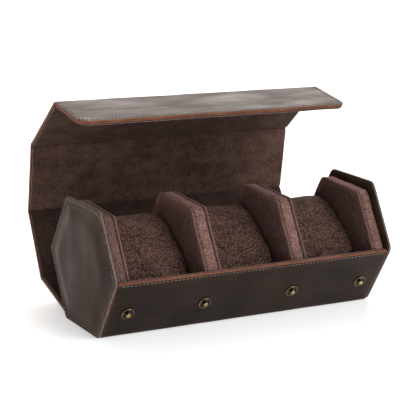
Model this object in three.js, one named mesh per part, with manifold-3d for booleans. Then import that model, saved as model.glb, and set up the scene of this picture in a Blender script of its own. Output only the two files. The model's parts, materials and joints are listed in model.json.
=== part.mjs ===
// Hexagonal leather watch roll for three watches, with its lid open.
//
// A strip of leather, board and lining is folded round two hexagonal end caps. Its front and base
// panels are sewn to the caps. The other five panels are the lid, and they turn on leather folds.
// Inside, two padded dividers and two end pads make three bays, each with a loose pillow.
//
// Units are millimetres. +X runs along the roll, +Y to the back where the lid hangs, +Z up.
// The origin is the middle of the base panel's outer face.

import * as THREE from "three";
import { mergeVertices } from "three/addons/utils/BufferGeometryUtils.js";
import Module from "manifold-3d";

// ---- Overall sizes -------------------------------------------------------------------------
const HEX_SIDE = 52; // side of the caps' hexagon
const CASE_LENGTH = 224; // from cap rim to cap rim
const BAY_COUNT = 3;
const JOIN_GAP = 0.3; // between pieces that touch

// ---- Layers of the folded strip ------------------------------------------------------------
const LEATHER = 1.2;
const BOARD = 1.2;
const LINING = 0.6;
const BOARD_END_SETBACK = 2; // board edge to fold line, which leaves room to fold
const LINING_END_SETBACK = 2.4;
const BOARD_SIDE_INSET = 3.5; // board edge to leather edge, under the stitching
const LINING_SIDE_INSET = 0.6;
const FOLD_BEAD_SIDES = 12;

// ---- Lid -----------------------------------------------------------------------------------
const FLAP_PAST_STUDS = 13; // flap beyond its row of sockets
const FLAP_CORNER = 8;
const FLAP_STANDOFF = 1.3; // flap lining to front panel when closed, which clears the stud's rim
const FRONT_EDGE_DROP = 1.5; // the front panel stops this far below its corner of the hexagon
const BROW_REST_GAP = 0.4; // brow panel to the front panel's top edge when closed
// Turn of each lid fold as the lid stands open, from the base upwards, in degrees.
const OPEN_TURNS = [17, 45, 34, 42, 52];

// ---- End caps ------------------------------------------------------------------------------
const CAP_LEATHER = 2;
const CAP_BULGE = 2.5; // how far the padded middle stands out from the rim
const CAP_BORDER = 6; // flat sewn border, measured towards the middle
const CAP_SHOULDER = 14; // width of the slope between border and crown
const CAP_BOARD = 1.5;
const CAP_PADDING_FOOT = 2; // the padding's edge inside the shoulder's foot

// ---- Dividers and end pads -----------------------------------------------------------------
const END_STACK = 13.5; // cap rim to the inner face of the end pad
const DIVIDER = 13;
const PAD_TOP_INSET = 5.6; // pad top to the top of the hexagon
const PAD_CORNER = 5;
const CLOTH = 0.8;
const CLOTH_MOUTH = [6, 26]; // hole in a cover's underside, along X and Y, where it's glued down

// ---- Pillows -------------------------------------------------------------------------------
const PILLOW_END_ROOM = 4.4; // pillow's long half axis to the closed wrap's lining
const PILLOW_FACE_ROOM = 14.4; // pillow's short half axis to the closed wrap's lining
const PILLOW_SQUARENESS = 3; // exponent of the oval: 2 is an ellipse
const PILLOW_TILT = 35; // degrees, towards the front
const PILLOW_SIDE_GAP = 0.5;
const PILLOW_FORWARD = 6; // pillow centre behind the middle of the case
const PILLOW_POINTS = 40;
const PILLOW_EDGE = 4; // rounding of the pillow's ends
const PILLOW_MOUTH = [34, 5]; // slit in the cover, along X and along the oval

// ---- Press studs ---------------------------------------------------------------------------
const STUD_END_INSET = 14.5; // outer studs to the strip's ends
const STUD_PAST_DIVIDER = 0.8; // inner studs outwards of the dividers' middles
const STUD_UP_PANEL = 21.5; // from the front panel's lower fold
const STUD_RIM_RADIUS = 4.7;
const STUD_SEAT_GAP = 0.1; // rim to leather
const STUD_RIM_HEIGHT = 0.9;
const STUD_RIM_CHAMFER = 0.4;
const STUD_RIM_LIP = 0.6; // flat top of the rim
const STUD_DISH_DEPTH = 0.45;
const STUD_HEAD_RADIUS = 1.7;
const STUD_HEAD_HEIGHT = 2.7;
const STUD_HEAD_BAND = 0.4; // straight side of the head
const STUD_HEAD_CHAMFER = 0.5;
const STUD_NECK_RADIUS = 1.3;
const STUD_HOLE_RADIUS = 1.5;
const STUD_SHANK_RADIUS = 1.2;
const POST_FLANGE_RADIUS = 4.2;
const POST_FLANGE = 0.6;
const SOCKET_RADIUS = 4.9;
const SOCKET_BORE_RADIUS = 2;
const SOCKET_CHAMFER = 0.3;
const ROUND_STEPS = 24;

// ---- Worked-out sizes ----------------------------------------------------------------------
const SIN60 = Math.sin(Math.PI / 3);
const HALF_LENGTH = CASE_LENGTH / 2;
const APOTHEM = HEX_SIDE * SIN60;
const CENTRE_Z = APOTHEM;
// Depths below a panel's fold plane, which is the middle of the leather.
const LEATHER_HALF = LEATHER / 2;
const BOARD_TOP = LEATHER_HALF + JOIN_GAP;
const BOARD_BOTTOM = BOARD_TOP + BOARD;
const LINING_TOP = BOARD_BOTTOM + JOIN_GAP;
const LINING_BOTTOM = LINING_TOP + LINING;
const STRIP_THICKNESS = LEATHER_HALF + LINING_BOTTOM;
const STRIP_WIDTH = CASE_LENGTH - 2 * (CAP_LEATHER + JOIN_GAP);
const FOLD_SIDE = HEX_SIDE - LEATHER_HALF / SIN60; // fold line to fold line
const FOLD_GAP = LEATHER_HALF + JOIN_GAP; // fold line to the leather's cut end
const radians = (degrees) => (degrees * Math.PI) / 180;

// ---- The closed lid, which sets the last two panels and their folds --------------------------
// Worked in the section plane as [y, z]. The brow panel rests on the front panel's top edge, and
// the flap lies outside the front panel, a standoff away from it.
const along = ([y, z], angle, distance) => [
  y + distance * Math.cos(angle),
  z + distance * Math.sin(angle),
];
const FRONT_DOWN = radians(300); // direction down the front panel
const FRONT_OUT = radians(210); // its outward normal
const foldTopFront = [-FOLD_SIDE / 2, CENTRE_Z + FOLD_SIDE * SIN60];
const foldFront = [-FOLD_SIDE, CENTRE_Z];
const frontEdge = along(along(foldFront, FRONT_DOWN, FRONT_EDGE_DROP), FRONT_OUT, LEATHER_HALF);
const edgeReach = Math.hypot(frontEdge[0] - foldTopFront[0], frontEdge[1] - foldTopFront[1]);
const edgeAngle = Math.atan2(frontEdge[1] - foldTopFront[1], frontEdge[0] - foldTopFront[0]);
const BROW_CLOSED =
  edgeAngle + 2 * Math.PI - Math.asin((LINING_BOTTOM + BROW_REST_GAP) / edgeReach);
const flapPlane = LEATHER_HALF + FLAP_STANDOFF + LINING_BOTTOM; // outside the front fold plane
const browToPlane = Math.cos(BROW_CLOSED - FRONT_OUT);
const BROW_LENGTH = (FOLD_SIDE * SIN60 + flapPlane) / browToPlane;
const flapFold = along(foldTopFront, BROW_CLOSED, BROW_LENGTH);
const flapFoldDown =
  (flapFold[0] - foldFront[0]) * Math.cos(FRONT_DOWN) +
  (flapFold[1] - foldFront[1]) * Math.sin(FRONT_DOWN);
const SOCKET_ALONG_FLAP = FOLD_SIDE - STUD_UP_PANEL - flapFoldDown;
const FLAP_LENGTH = SOCKET_ALONG_FLAP + FLAP_PAST_STUDS;

// ---- Pads and pillows placed in the trough ----------------------------------------------------
const TROUGH_FLOOR = STRIP_THICKNESS + JOIN_GAP;
const PAD_APOTHEM = (2 * APOTHEM - PAD_TOP_INSET - TROUGH_FLOOR) / 2;
const PAD_SIDE = PAD_APOTHEM / SIN60;
const padCentreZ = TROUGH_FLOOR + PAD_APOTHEM;
// The pad's front-lower side lies on the front panel's lining.
const padCentreY =
  (PAD_APOTHEM + TROUGH_FLOOR - APOTHEM - (padCentreZ - CENTRE_Z) / 2) / SIN60;
const BAY = (CASE_LENGTH - 2 * END_STACK - (BAY_COUNT - 1) * DIVIDER) / BAY_COUNT;
const bayCentre = (bay) => (bay - (BAY_COUNT - 1) / 2) * (BAY + DIVIDER);
const outerStud = STRIP_WIDTH / 2 - STUD_END_INSET;
const innerStud = ((BAY_COUNT - 2) * (BAY + DIVIDER)) / 2 + STUD_PAST_DIVIDER;
const STUD_OFFSETS = [-outerStud, -innerStud, innerStud, outerStud];
const PILLOW_HALF_LENGTH = APOTHEM - STRIP_THICKNESS - PILLOW_END_ROOM;
const PILLOW_HALF_DEPTH = APOTHEM - STRIP_THICKNESS - PILLOW_FACE_ROOM;
const pillowTilt = radians(PILLOW_TILT);
// Half height of the tilted oval, by the support function of |x/a|^n + |y/b|^n = 1.
const DUAL = PILLOW_SQUARENESS / (PILLOW_SQUARENESS - 1);
const pillowHalfHeight = Math.pow(
  Math.pow(PILLOW_HALF_LENGTH * Math.sin(pillowTilt), DUAL) +
    Math.pow(PILLOW_HALF_DEPTH * Math.cos(pillowTilt), DUAL),
  1 / DUAL,
);
const pillowCentreZ = TROUGH_FLOOR + pillowHalfHeight;

// ---- Solid helpers ---------------------------------------------------------------------------
const wasm = await Module();
wasm.setup();

// A closed three.js geometry as a manifold-3d solid.
function toSolid(geometry) {
  const bare = geometry.index ? geometry.toNonIndexed() : geometry.clone();
  bare.deleteAttribute("normal");
  bare.deleteAttribute("uv");
  const merged = mergeVertices(bare, 1e-3);
  return new wasm.Manifold(
    new wasm.Mesh({
      numProp: 3,
      vertProperties: merged.attributes.position.array,
      triVerts: new Uint32Array(merged.index.array),
    }),
  );
}

// A manifold-3d solid as a three.js geometry.
function toGeometry(solid) {
  const mesh = solid.getMesh();
  const geometry = new THREE.BufferGeometry();
  geometry.setAttribute("position", new THREE.BufferAttribute(mesh.vertProperties, 3));
  geometry.setIndex(new THREE.BufferAttribute(mesh.triVerts, 1));
  geometry.computeVertexNormals();
  return geometry;
}

// The first geometry less all the others.
function cut(geometry, ...cutters) {
  return toGeometry(cutters.reduce((solid, c) => solid.subtract(toSolid(c)), toSolid(geometry)));
}

const rotated = (geometry, axis, angle) => geometry[`rotate${axis}`](angle);
const moved = (geometry, x, y, z) => geometry.translate(x, y, z);

// A cylinder along Z from z0 to z1.
function roundBar(radius, z0, z1, steps = ROUND_STEPS) {
  const bar = new THREE.CylinderGeometry(radius, radius, z1 - z0, steps);
  return moved(rotated(bar, "X", Math.PI / 2), 0, 0, (z0 + z1) / 2);
}

// A [radius, height] profile turned about Z.
function turned(profile, steps = ROUND_STEPS) {
  const points = profile.map(([r, z]) => new THREE.Vector2(r, z));
  return rotated(new THREE.LatheGeometry(points, steps), "X", Math.PI / 2);
}

// A hexagonal [radius, x] profile about X, flat side down: radius is to the hexagon's corners.
function hexTurned(profile) {
  const points = profile.map(([r, x]) => new THREE.Vector2(r, x));
  return rotated(new THREE.LatheGeometry(points, 6, Math.PI / 6), "Z", -Math.PI / 2);
}

// A shape drawn in the case's section plane (its x is our Y, its y is our Z), from x0 to x1.
function sectionSolid(shape, x0, x1, curveSteps = 4) {
  const solid = new THREE.ExtrudeGeometry(shape, {
    depth: x1 - x0,
    bevelEnabled: false,
    curveSegments: curveSteps,
  });
  return moved(rotated(rotated(solid, "Z", Math.PI / 2), "Y", Math.PI / 2), x0, 0, 0);
}

// A hexagon with its flat sides up and down and rounded corners, centred on y, z.
function hexShape(side, corner, y, z) {
  const shape = new THREE.Shape();
  const cornerReach = side - corner / SIN60;
  for (let i = 0; i < 6; i++) {
    const angle = radians(60 * i);
    const centreY = y + cornerReach * Math.cos(angle);
    const centreZ = z + cornerReach * Math.sin(angle);
    shape.absarc(centreY, centreZ, corner, angle - radians(30), angle + radians(30), false);
  }
  return shape;
}

// ---- Materials ---------------------------------------------------------------------------------
const finish = (color, roughness, metalness = 0) =>
  new THREE.MeshStandardMaterial({ color, roughness, metalness });
const MATERIALS = {
  leather: finish(0x33261f, 0.45),
  edge: finish(0x7a4630, 0.5),
  lining: finish(0x3b2a24, 0.95),
  cloth: finish(0x4f3a34, 0.95),
  board: finish(0x9a8a72, 0.9),
  foam: finish(0xd8d2c4, 0.95),
  brass: finish(0x9c7a45, 0.3, 1),
};

function piece(name, geometry, material) {
  const mesh = new THREE.Mesh(geometry, MATERIALS[material]);
  mesh.name = name;
  return mesh;
}

// ---- The folded strip --------------------------------------------------------------------------
// A panel's own frame has its lower fold line as X and runs along +Y; its inside is at +Z.

// A rectangle in a panel's plane; roundFar rounds the two corners at its far end.
function panelShape(width, near, far, roundFar = 0) {
  const half = width / 2;
  const shape = new THREE.Shape();
  shape.moveTo(-half, near);
  shape.lineTo(half, near);
  shape.lineTo(half, far - roundFar);
  if (roundFar) shape.absarc(half - roundFar, far - roundFar, roundFar, 0, Math.PI / 2, false);
  shape.lineTo(-half + roundFar, far);
  if (roundFar) {
    shape.absarc(-half + roundFar, far - roundFar, roundFar, Math.PI / 2, Math.PI, false);
  }
  return shape;
}

function plate(shape, z0, z1) {
  const solid = new THREE.ExtrudeGeometry(shape, {
    depth: z1 - z0,
    bevelEnabled: false,
    curveSegments: 6,
  });
  return moved(solid, 0, 0, z0);
}

// The three layers of one panel. free is the setback of each layer at a panel's open edge.
function panelLayers(name, { length, openEdge = false, corner = 0, inside = 1, holes = {} }) {
  const layer = (part, top, bottom, sideInset, nearSetback, farSetback) => {
    const width = STRIP_WIDTH - 2 * sideInset;
    const round = Math.max(corner - sideInset, 0);
    const [z0, z1] = inside > 0 ? [top, bottom] : [-bottom, -top];
    const sheet = plate(panelShape(width, nearSetback, length - farSetback, round), z0, z1);
    const cutters = (holes[part] ?? []).map(([x, y, radius]) =>
      moved(roundBar(radius, z0 - 1, z1 + 1), x, y, 0),
    );
    return piece(`${part}_${name}`, cutters.length ? cut(sheet, ...cutters) : sheet, part);
  };
  const far = (closed, open) => (openEdge ? open : closed);
  return [
    layer("leather", -LEATHER_HALF, LEATHER_HALF, 0, FOLD_GAP, far(FOLD_GAP, 0)),
    layer(
      "board",
      BOARD_TOP,
      BOARD_BOTTOM,
      BOARD_SIDE_INSET,
      BOARD_END_SETBACK,
      far(BOARD_END_SETBACK, BOARD_SIDE_INSET),
    ),
    layer(
      "lining",
      LINING_TOP,
      LINING_BOTTOM,
      LINING_SIDE_INSET,
      LINING_END_SETBACK,
      far(LINING_END_SETBACK, LINING_SIDE_INSET),
    ),
  ];
}

// The leather's own bend at a fold line, as a bead that the next panel turns about.
function foldBead(name) {
  const bead = new THREE.CylinderGeometry(
    LEATHER_HALF,
    LEATHER_HALF,
    STRIP_WIDTH,
    FOLD_BEAD_SIDES,
  );
  return piece(name, rotated(bead, "Z", Math.PI / 2), "leather");
}

const atStuds = (y, radius) => STUD_OFFSETS.map((x) => [x, y, radius]);

function frontPanel() {
  const group = new THREE.Group();
  group.rotation.x = radians(120);
  const y = STUD_UP_PANEL;
  const holes = {
    leather: atStuds(y, STUD_HOLE_RADIUS),
    board: atStuds(y, POST_FLANGE_RADIUS + JOIN_GAP),
  };
  const length = FOLD_SIDE - FRONT_EDGE_DROP;
  group.add(...panelLayers("front", { length, openEdge: true, inside: -1, holes }));
  STUD_OFFSETS.forEach((x, i) => {
    const stud = snapStud(i + 1);
    const post = studPost(i + 1);
    stud.position.set(x, y, LEATHER_HALF + STUD_SEAT_GAP);
    post.position.set(x, y, -LEATHER_HALF - JOIN_GAP);
    group.add(stud, post);
  });
  return group;
}

function flapPanel() {
  const y = SOCKET_ALONG_FLAP;
  const holes = {
    board: atStuds(y, SOCKET_RADIUS + JOIN_GAP),
    lining: atStuds(y, SOCKET_RADIUS + JOIN_GAP),
  };
  const layers = panelLayers("flap", {
    length: FLAP_LENGTH,
    openEdge: true,
    corner: FLAP_CORNER,
    holes,
  });
  const sockets = STUD_OFFSETS.map((x, i) => {
    const socket = snapSocket(i + 1);
    socket.position.set(x, y, 0);
    return socket;
  });
  return [...layers, ...sockets];
}

// The lid is a chain of groups, each turned about the end of the one before it.
function lidChain() {
  const panels = [
    ["back_low", FOLD_SIDE],
    ["back_high", FOLD_SIDE],
    ["top", FOLD_SIDE],
    ["brow", BROW_LENGTH],
    ["flap", FLAP_LENGTH],
  ];
  const root = new THREE.Group();
  let holder = root;
  let reach = FOLD_SIDE;
  panels.forEach(([name, length], i) => {
    const bead = foldBead(`fold_${name}`);
    bead.position.y = reach;
    holder.add(bead);
    const panel = new THREE.Group();
    panel.position.y = reach;
    panel.rotation.x = radians(OPEN_TURNS[i]);
    const layers = name === "flap" ? flapPanel() : panelLayers(name, { length });
    panel.add(...layers);
    holder.add(panel);
    holder = panel;
    reach = length;
  });
  return root;
}

// ---- Press studs -------------------------------------------------------------------------------
// Stud: a dished rim with a ball-topped neck, on +Z, and a short shank behind it.
function snapStud(number) {
  const rimTop = STUD_RIM_HEIGHT;
  const lip = STUD_RIM_RADIUS - STUD_RIM_CHAMFER - STUD_RIM_LIP;
  const dishFloor = rimTop - STUD_DISH_DEPTH;
  const headTop = STUD_HEAD_HEIGHT;
  const headSide = headTop - STUD_HEAD_CHAMFER;
  const headUnder = headSide - STUD_HEAD_BAND;
  const body = turned([
    [0, -LEATHER_HALF],
    [STUD_SHANK_RADIUS, -LEATHER_HALF],
    [STUD_SHANK_RADIUS, 0],
    [STUD_RIM_RADIUS, 0],
    [STUD_RIM_RADIUS, rimTop - STUD_RIM_CHAMFER],
    [STUD_RIM_RADIUS - STUD_RIM_CHAMFER, rimTop],
    [lip, rimTop],
    [lip - STUD_RIM_CHAMFER, dishFloor],
    [STUD_NECK_RADIUS, dishFloor],
    [STUD_NECK_RADIUS, headUnder - STUD_HEAD_CHAMFER],
    [STUD_HEAD_RADIUS, headUnder],
    [STUD_HEAD_RADIUS, headSide],
    [STUD_HEAD_RADIUS - STUD_HEAD_CHAMFER, headTop],
    [0, headTop],
  ]);
  return piece(`snap_stud_${number}`, body, "brass");
}

// Post: the flange behind the front leather that the stud is riveted to.
function studPost(number) {
  const flange = roundBar(POST_FLANGE_RADIUS, -POST_FLANGE, 0);
  return piece(`stud_post_${number}`, flange, "brass");
}

// Socket: a cup open to the lining side, with its floor hidden against the leather. Its bore
// takes the stud's head when the flap lies a standoff away from the front panel.
function snapSocket(number) {
  const floorTop = LEATHER_HALF + JOIN_GAP;
  const headTop = LINING_BOTTOM + FLAP_STANDOFF - STUD_SEAT_GAP - STUD_HEAD_HEIGHT;
  const floor = headTop - JOIN_GAP;
  const body = turned([
    [0, floorTop],
    [SOCKET_RADIUS, floorTop],
    [SOCKET_RADIUS, LINING_BOTTOM - SOCKET_CHAMFER],
    [SOCKET_RADIUS - SOCKET_CHAMFER, LINING_BOTTOM],
    [SOCKET_BORE_RADIUS + SOCKET_CHAMFER, LINING_BOTTOM],
    [SOCKET_BORE_RADIUS, LINING_BOTTOM - SOCKET_CHAMFER],
    [SOCKET_BORE_RADIUS, floor],
    [0, floor],
  ]);
  return piece(`snap_socket_${number}`, body, "brass");
}

// ---- End caps and end pads -----------------------------------------------------------------------
// The cap's outer surface, as [corner radius, distance out from the rim plane].
function capCrown(steps = 6) {
  const foot = HEX_SIDE - CAP_BORDER;
  const crown = [];
  for (let i = 0; i <= steps; i++) {
    const t = i / steps;
    crown.push([foot - t * CAP_SHOULDER, CAP_BULGE * t * t * (3 - 2 * t)]);
  }
  return crown;
}

// An end is built with its outside at -X; turn is PI for the right-hand end.
function endCap(side, turn) {
  const group = new THREE.Group();
  const out = -HALF_LENGTH;
  const crown = capCrown();
  const leather = hexTurned([
    [0, out - CAP_BULGE],
    ...crown.toReversed().map(([r, rise]) => [r, out - rise]),
    [HEX_SIDE, out],
    [HEX_SIDE, out + CAP_LEATHER],
    ...crown.map(([r, rise]) => [r, out + CAP_LEATHER - rise]),
    [0, out + CAP_LEATHER - CAP_BULGE],
  ]);
  const paddingFoot = HEX_SIDE - CAP_BORDER - CAP_PADDING_FOOT;
  const underside = crown
    .filter(([r, rise]) => r < paddingFoot && rise > JOIN_GAP)
    .map(([r, rise]) => [r, out + CAP_LEATHER - rise + JOIN_GAP]);
  const padding = hexTurned([
    [0, out + CAP_LEATHER - CAP_BULGE + JOIN_GAP],
    ...underside.toReversed(),
    [paddingFoot, out + CAP_LEATHER],
    [0, out + CAP_LEATHER],
  ]);
  group.position.z = CENTRE_Z;
  group.rotation.z = turn;
  group.add(
    piece(`cap_leather_${side}`, leather, "leather"),
    piece(`cap_padding_${side}`, padding, "foam"),
  );
  return group;
}

const padShape = (inset = 0) =>
  hexShape(PAD_SIDE - inset / SIN60, PAD_CORNER - inset, padCentreY, padCentreZ);

// The hole in a cover's underside, centred on x.
function clothMouth(x) {
  const [width, depth] = CLOTH_MOUTH;
  const hole = new THREE.BoxGeometry(width, depth, 2 * (CLOTH + JOIN_GAP));
  return moved(hole, x, padCentreY, TROUGH_FLOOR + CLOTH / 2);
}

function capBoard(side, sign) {
  const face = HALF_LENGTH - CAP_LEATHER - JOIN_GAP;
  const [x0, x1] = [-face, -face + CAP_BOARD].map((x) => x * -sign).sort((a, b) => a - b);
  return piece(`cap_board_${side}`, sectionSolid(padShape(), x0, x1), "board");
}

// An end pad: a foam core under a cloth cover that is open towards the cap.
function endPad(side, sign) {
  const back = HALF_LENGTH - CAP_LEATHER - CAP_BOARD - 2 * JOIN_GAP;
  const front = HALF_LENGTH - END_STACK;
  const ordered = (a, b) => [a * sign, b * sign].sort((p, q) => p - q);
  const [x0, x1] = ordered(back, front);
  const [c0, c1] = ordered(back + CLOTH, front + CLOTH);
  const [f0, f1] = ordered(back, front + CLOTH + JOIN_GAP);
  const cover = cut(sectionSolid(padShape(), x0, x1), sectionSolid(padShape(CLOTH), c0, c1));
  return [
    piece(`end_pad_cover_${side}`, cover, "cloth"),
    piece(`end_pad_core_${side}`, sectionSolid(padShape(CLOTH + JOIN_GAP), f0, f1), "foam"),
  ];
}

// A divider: a foam core in a sewn cloth cover with a glued mouth underneath.
function divider(number) {
  const middle = (bayCentre(number - 1) + bayCentre(number)) / 2;
  const half = DIVIDER / 2;
  const inside = half - CLOTH;
  const core = inside - JOIN_GAP;
  const cover = cut(
    sectionSolid(padShape(), middle - half, middle + half),
    sectionSolid(padShape(CLOTH), middle - inside, middle + inside),
    clothMouth(middle),
  );
  const foam = sectionSolid(padShape(CLOTH + JOIN_GAP), middle - core, middle + core);
  return [
    piece(`divider_cover_${number}`, cover, "cloth"),
    piece(`divider_core_${number}`, foam, "foam"),
  ];
}

// ---- Pillows ---------------------------------------------------------------------------------------
// The pillow's oval, with its long axis along the shape's x; inset shrinks it all round.
function pillowShape(inset) {
  const a = PILLOW_HALF_LENGTH - inset;
  const b = PILLOW_HALF_DEPTH - inset;
  const power = 2 / PILLOW_SQUARENESS;
  const points = [];
  for (let i = 0; i < PILLOW_POINTS; i++) {
    const angle = (2 * Math.PI * i) / PILLOW_POINTS;
    const [c, s] = [Math.cos(angle), Math.sin(angle)];
    points.push(
      new THREE.Vector2(
        Math.sign(c) * a * Math.pow(Math.abs(c), power),
        Math.sign(s) * b * Math.pow(Math.abs(s), power),
      ),
    );
  }
  return new THREE.Shape(points);
}

// The oval drawn out along X to a half width, with its ends rounded off.
function pillowSolid(inset, halfWidth) {
  const steps = 3;
  const straight = 2 * (halfWidth - PILLOW_EDGE);
  const solid = new THREE.ExtrudeGeometry(pillowShape(inset + PILLOW_EDGE), {
    depth: straight,
    bevelThickness: PILLOW_EDGE,
    bevelSize: PILLOW_EDGE,
    bevelSegments: steps,
  });
  const turnedUp = rotated(rotated(solid, "Z", Math.PI / 2), "Y", Math.PI / 2);
  return moved(turnedUp, -straight / 2, 0, 0);
}

function pillow(number) {
  const group = new THREE.Group();
  const halfWidth = BAY / 2 - PILLOW_SIDE_GAP;
  const [slitWidth, slitHeight] = PILLOW_MOUTH;
  const slit = new THREE.BoxGeometry(slitWidth, slitHeight, 2 * PILLOW_EDGE);
  const cover = cut(
    pillowSolid(0, halfWidth),
    pillowSolid(CLOTH, halfWidth - CLOTH),
    moved(slit, 0, 0, -PILLOW_HALF_DEPTH),
  );
  const coreInset = CLOTH + JOIN_GAP;
  group.position.set(bayCentre(number - 1), PILLOW_FORWARD, pillowCentreZ);
  group.rotation.x = pillowTilt;
  group.add(
    piece(`pillow_cover_${number}`, cover, "cloth"),
    piece(`pillow_core_${number}`, pillowSolid(coreInset, halfWidth - coreInset), "foam"),
  );
  return group;
}

// ---- The whole roll ----------------------------------------------------------------------------------
const roll = new THREE.Group();

const strip = new THREE.Group(); // its origin is the fold between the front and base panels
strip.position.set(0, -FOLD_SIDE / 2, LEATHER_HALF);
strip.add(foldBead("fold_front"), frontPanel(), lidChain());
strip.add(...panelLayers("base", { length: FOLD_SIDE }));
roll.add(strip);

for (const [side, sign, turn] of [
  ["left", -1, 0],
  ["right", 1, Math.PI],
]) {
  roll.add(endCap(side, turn), capBoard(side, sign), ...endPad(side, sign));
}
for (let number = 1; number < BAY_COUNT; number++) roll.add(...divider(number));
for (let number = 1; number <= BAY_COUNT; number++) roll.add(pillow(number));

export default roll;
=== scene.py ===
"""Hexagonal leather watch roll, standing open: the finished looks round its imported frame."""

import json
import logging
import math
from collections.abc import Callable, Iterable, Sequence
from dataclasses import dataclass, field
from enum import Enum

import bmesh
import bpy
import numpy as np
from mathutils import Matrix, Vector


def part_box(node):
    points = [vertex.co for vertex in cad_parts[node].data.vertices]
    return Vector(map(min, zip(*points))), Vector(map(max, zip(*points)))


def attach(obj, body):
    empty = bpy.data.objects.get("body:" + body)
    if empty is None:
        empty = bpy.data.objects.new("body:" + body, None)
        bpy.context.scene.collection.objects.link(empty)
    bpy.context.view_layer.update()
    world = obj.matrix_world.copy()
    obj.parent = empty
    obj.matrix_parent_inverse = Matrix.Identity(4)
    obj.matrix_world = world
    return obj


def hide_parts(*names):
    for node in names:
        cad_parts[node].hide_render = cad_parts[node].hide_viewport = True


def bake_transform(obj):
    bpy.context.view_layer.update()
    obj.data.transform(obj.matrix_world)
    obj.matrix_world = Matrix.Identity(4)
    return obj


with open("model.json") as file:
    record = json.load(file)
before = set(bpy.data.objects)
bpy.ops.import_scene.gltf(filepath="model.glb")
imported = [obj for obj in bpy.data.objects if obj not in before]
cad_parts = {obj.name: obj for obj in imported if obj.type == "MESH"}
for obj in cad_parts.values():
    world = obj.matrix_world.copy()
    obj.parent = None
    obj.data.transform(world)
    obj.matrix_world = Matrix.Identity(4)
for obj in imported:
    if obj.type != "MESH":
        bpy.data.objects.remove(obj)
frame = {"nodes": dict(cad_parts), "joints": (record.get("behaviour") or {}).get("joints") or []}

LOG = logging.getLogger("watch_roll")
MM = 0.001
SIN60 = math.sin(math.pi / 3)
CAP_GAP = 0.15 * MM  # between an end pad and its cap
SHARPEST_SMOOTH = math.radians(58)  # a sharper edge than this shows as a crease
TINY = 1e-9  # in metres, in place of a length of nothing
LOOK_AHEAD = 0.2 * MM  # how far ahead a loop's direction is taken from
SWELLS = 6  # how many waves make up one unevenness
REST_AT = "rest_at"  # where a point lies at rest, which every finish is laid out by
WEAR_AND_SHADE = "wear"  # 1 where a surface is rubbed or painted darker (painted shade in folds, seams, grooves and panels), 0 where not

Colour = tuple[float, float, float]
Axes = tuple[float, float, float]  # one number for each of X, Y and Z


class Side(Enum):
    """The two ends of the roll."""

    LEFT = "left"
    RIGHT = "right"

    @property
    def sign(self) -> int:
        """-1 at the left end and 1 at the right."""
        return -1 if self is Side.LEFT else 1


# ---- Finishes ------------------------------------------------------------------------------


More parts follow.
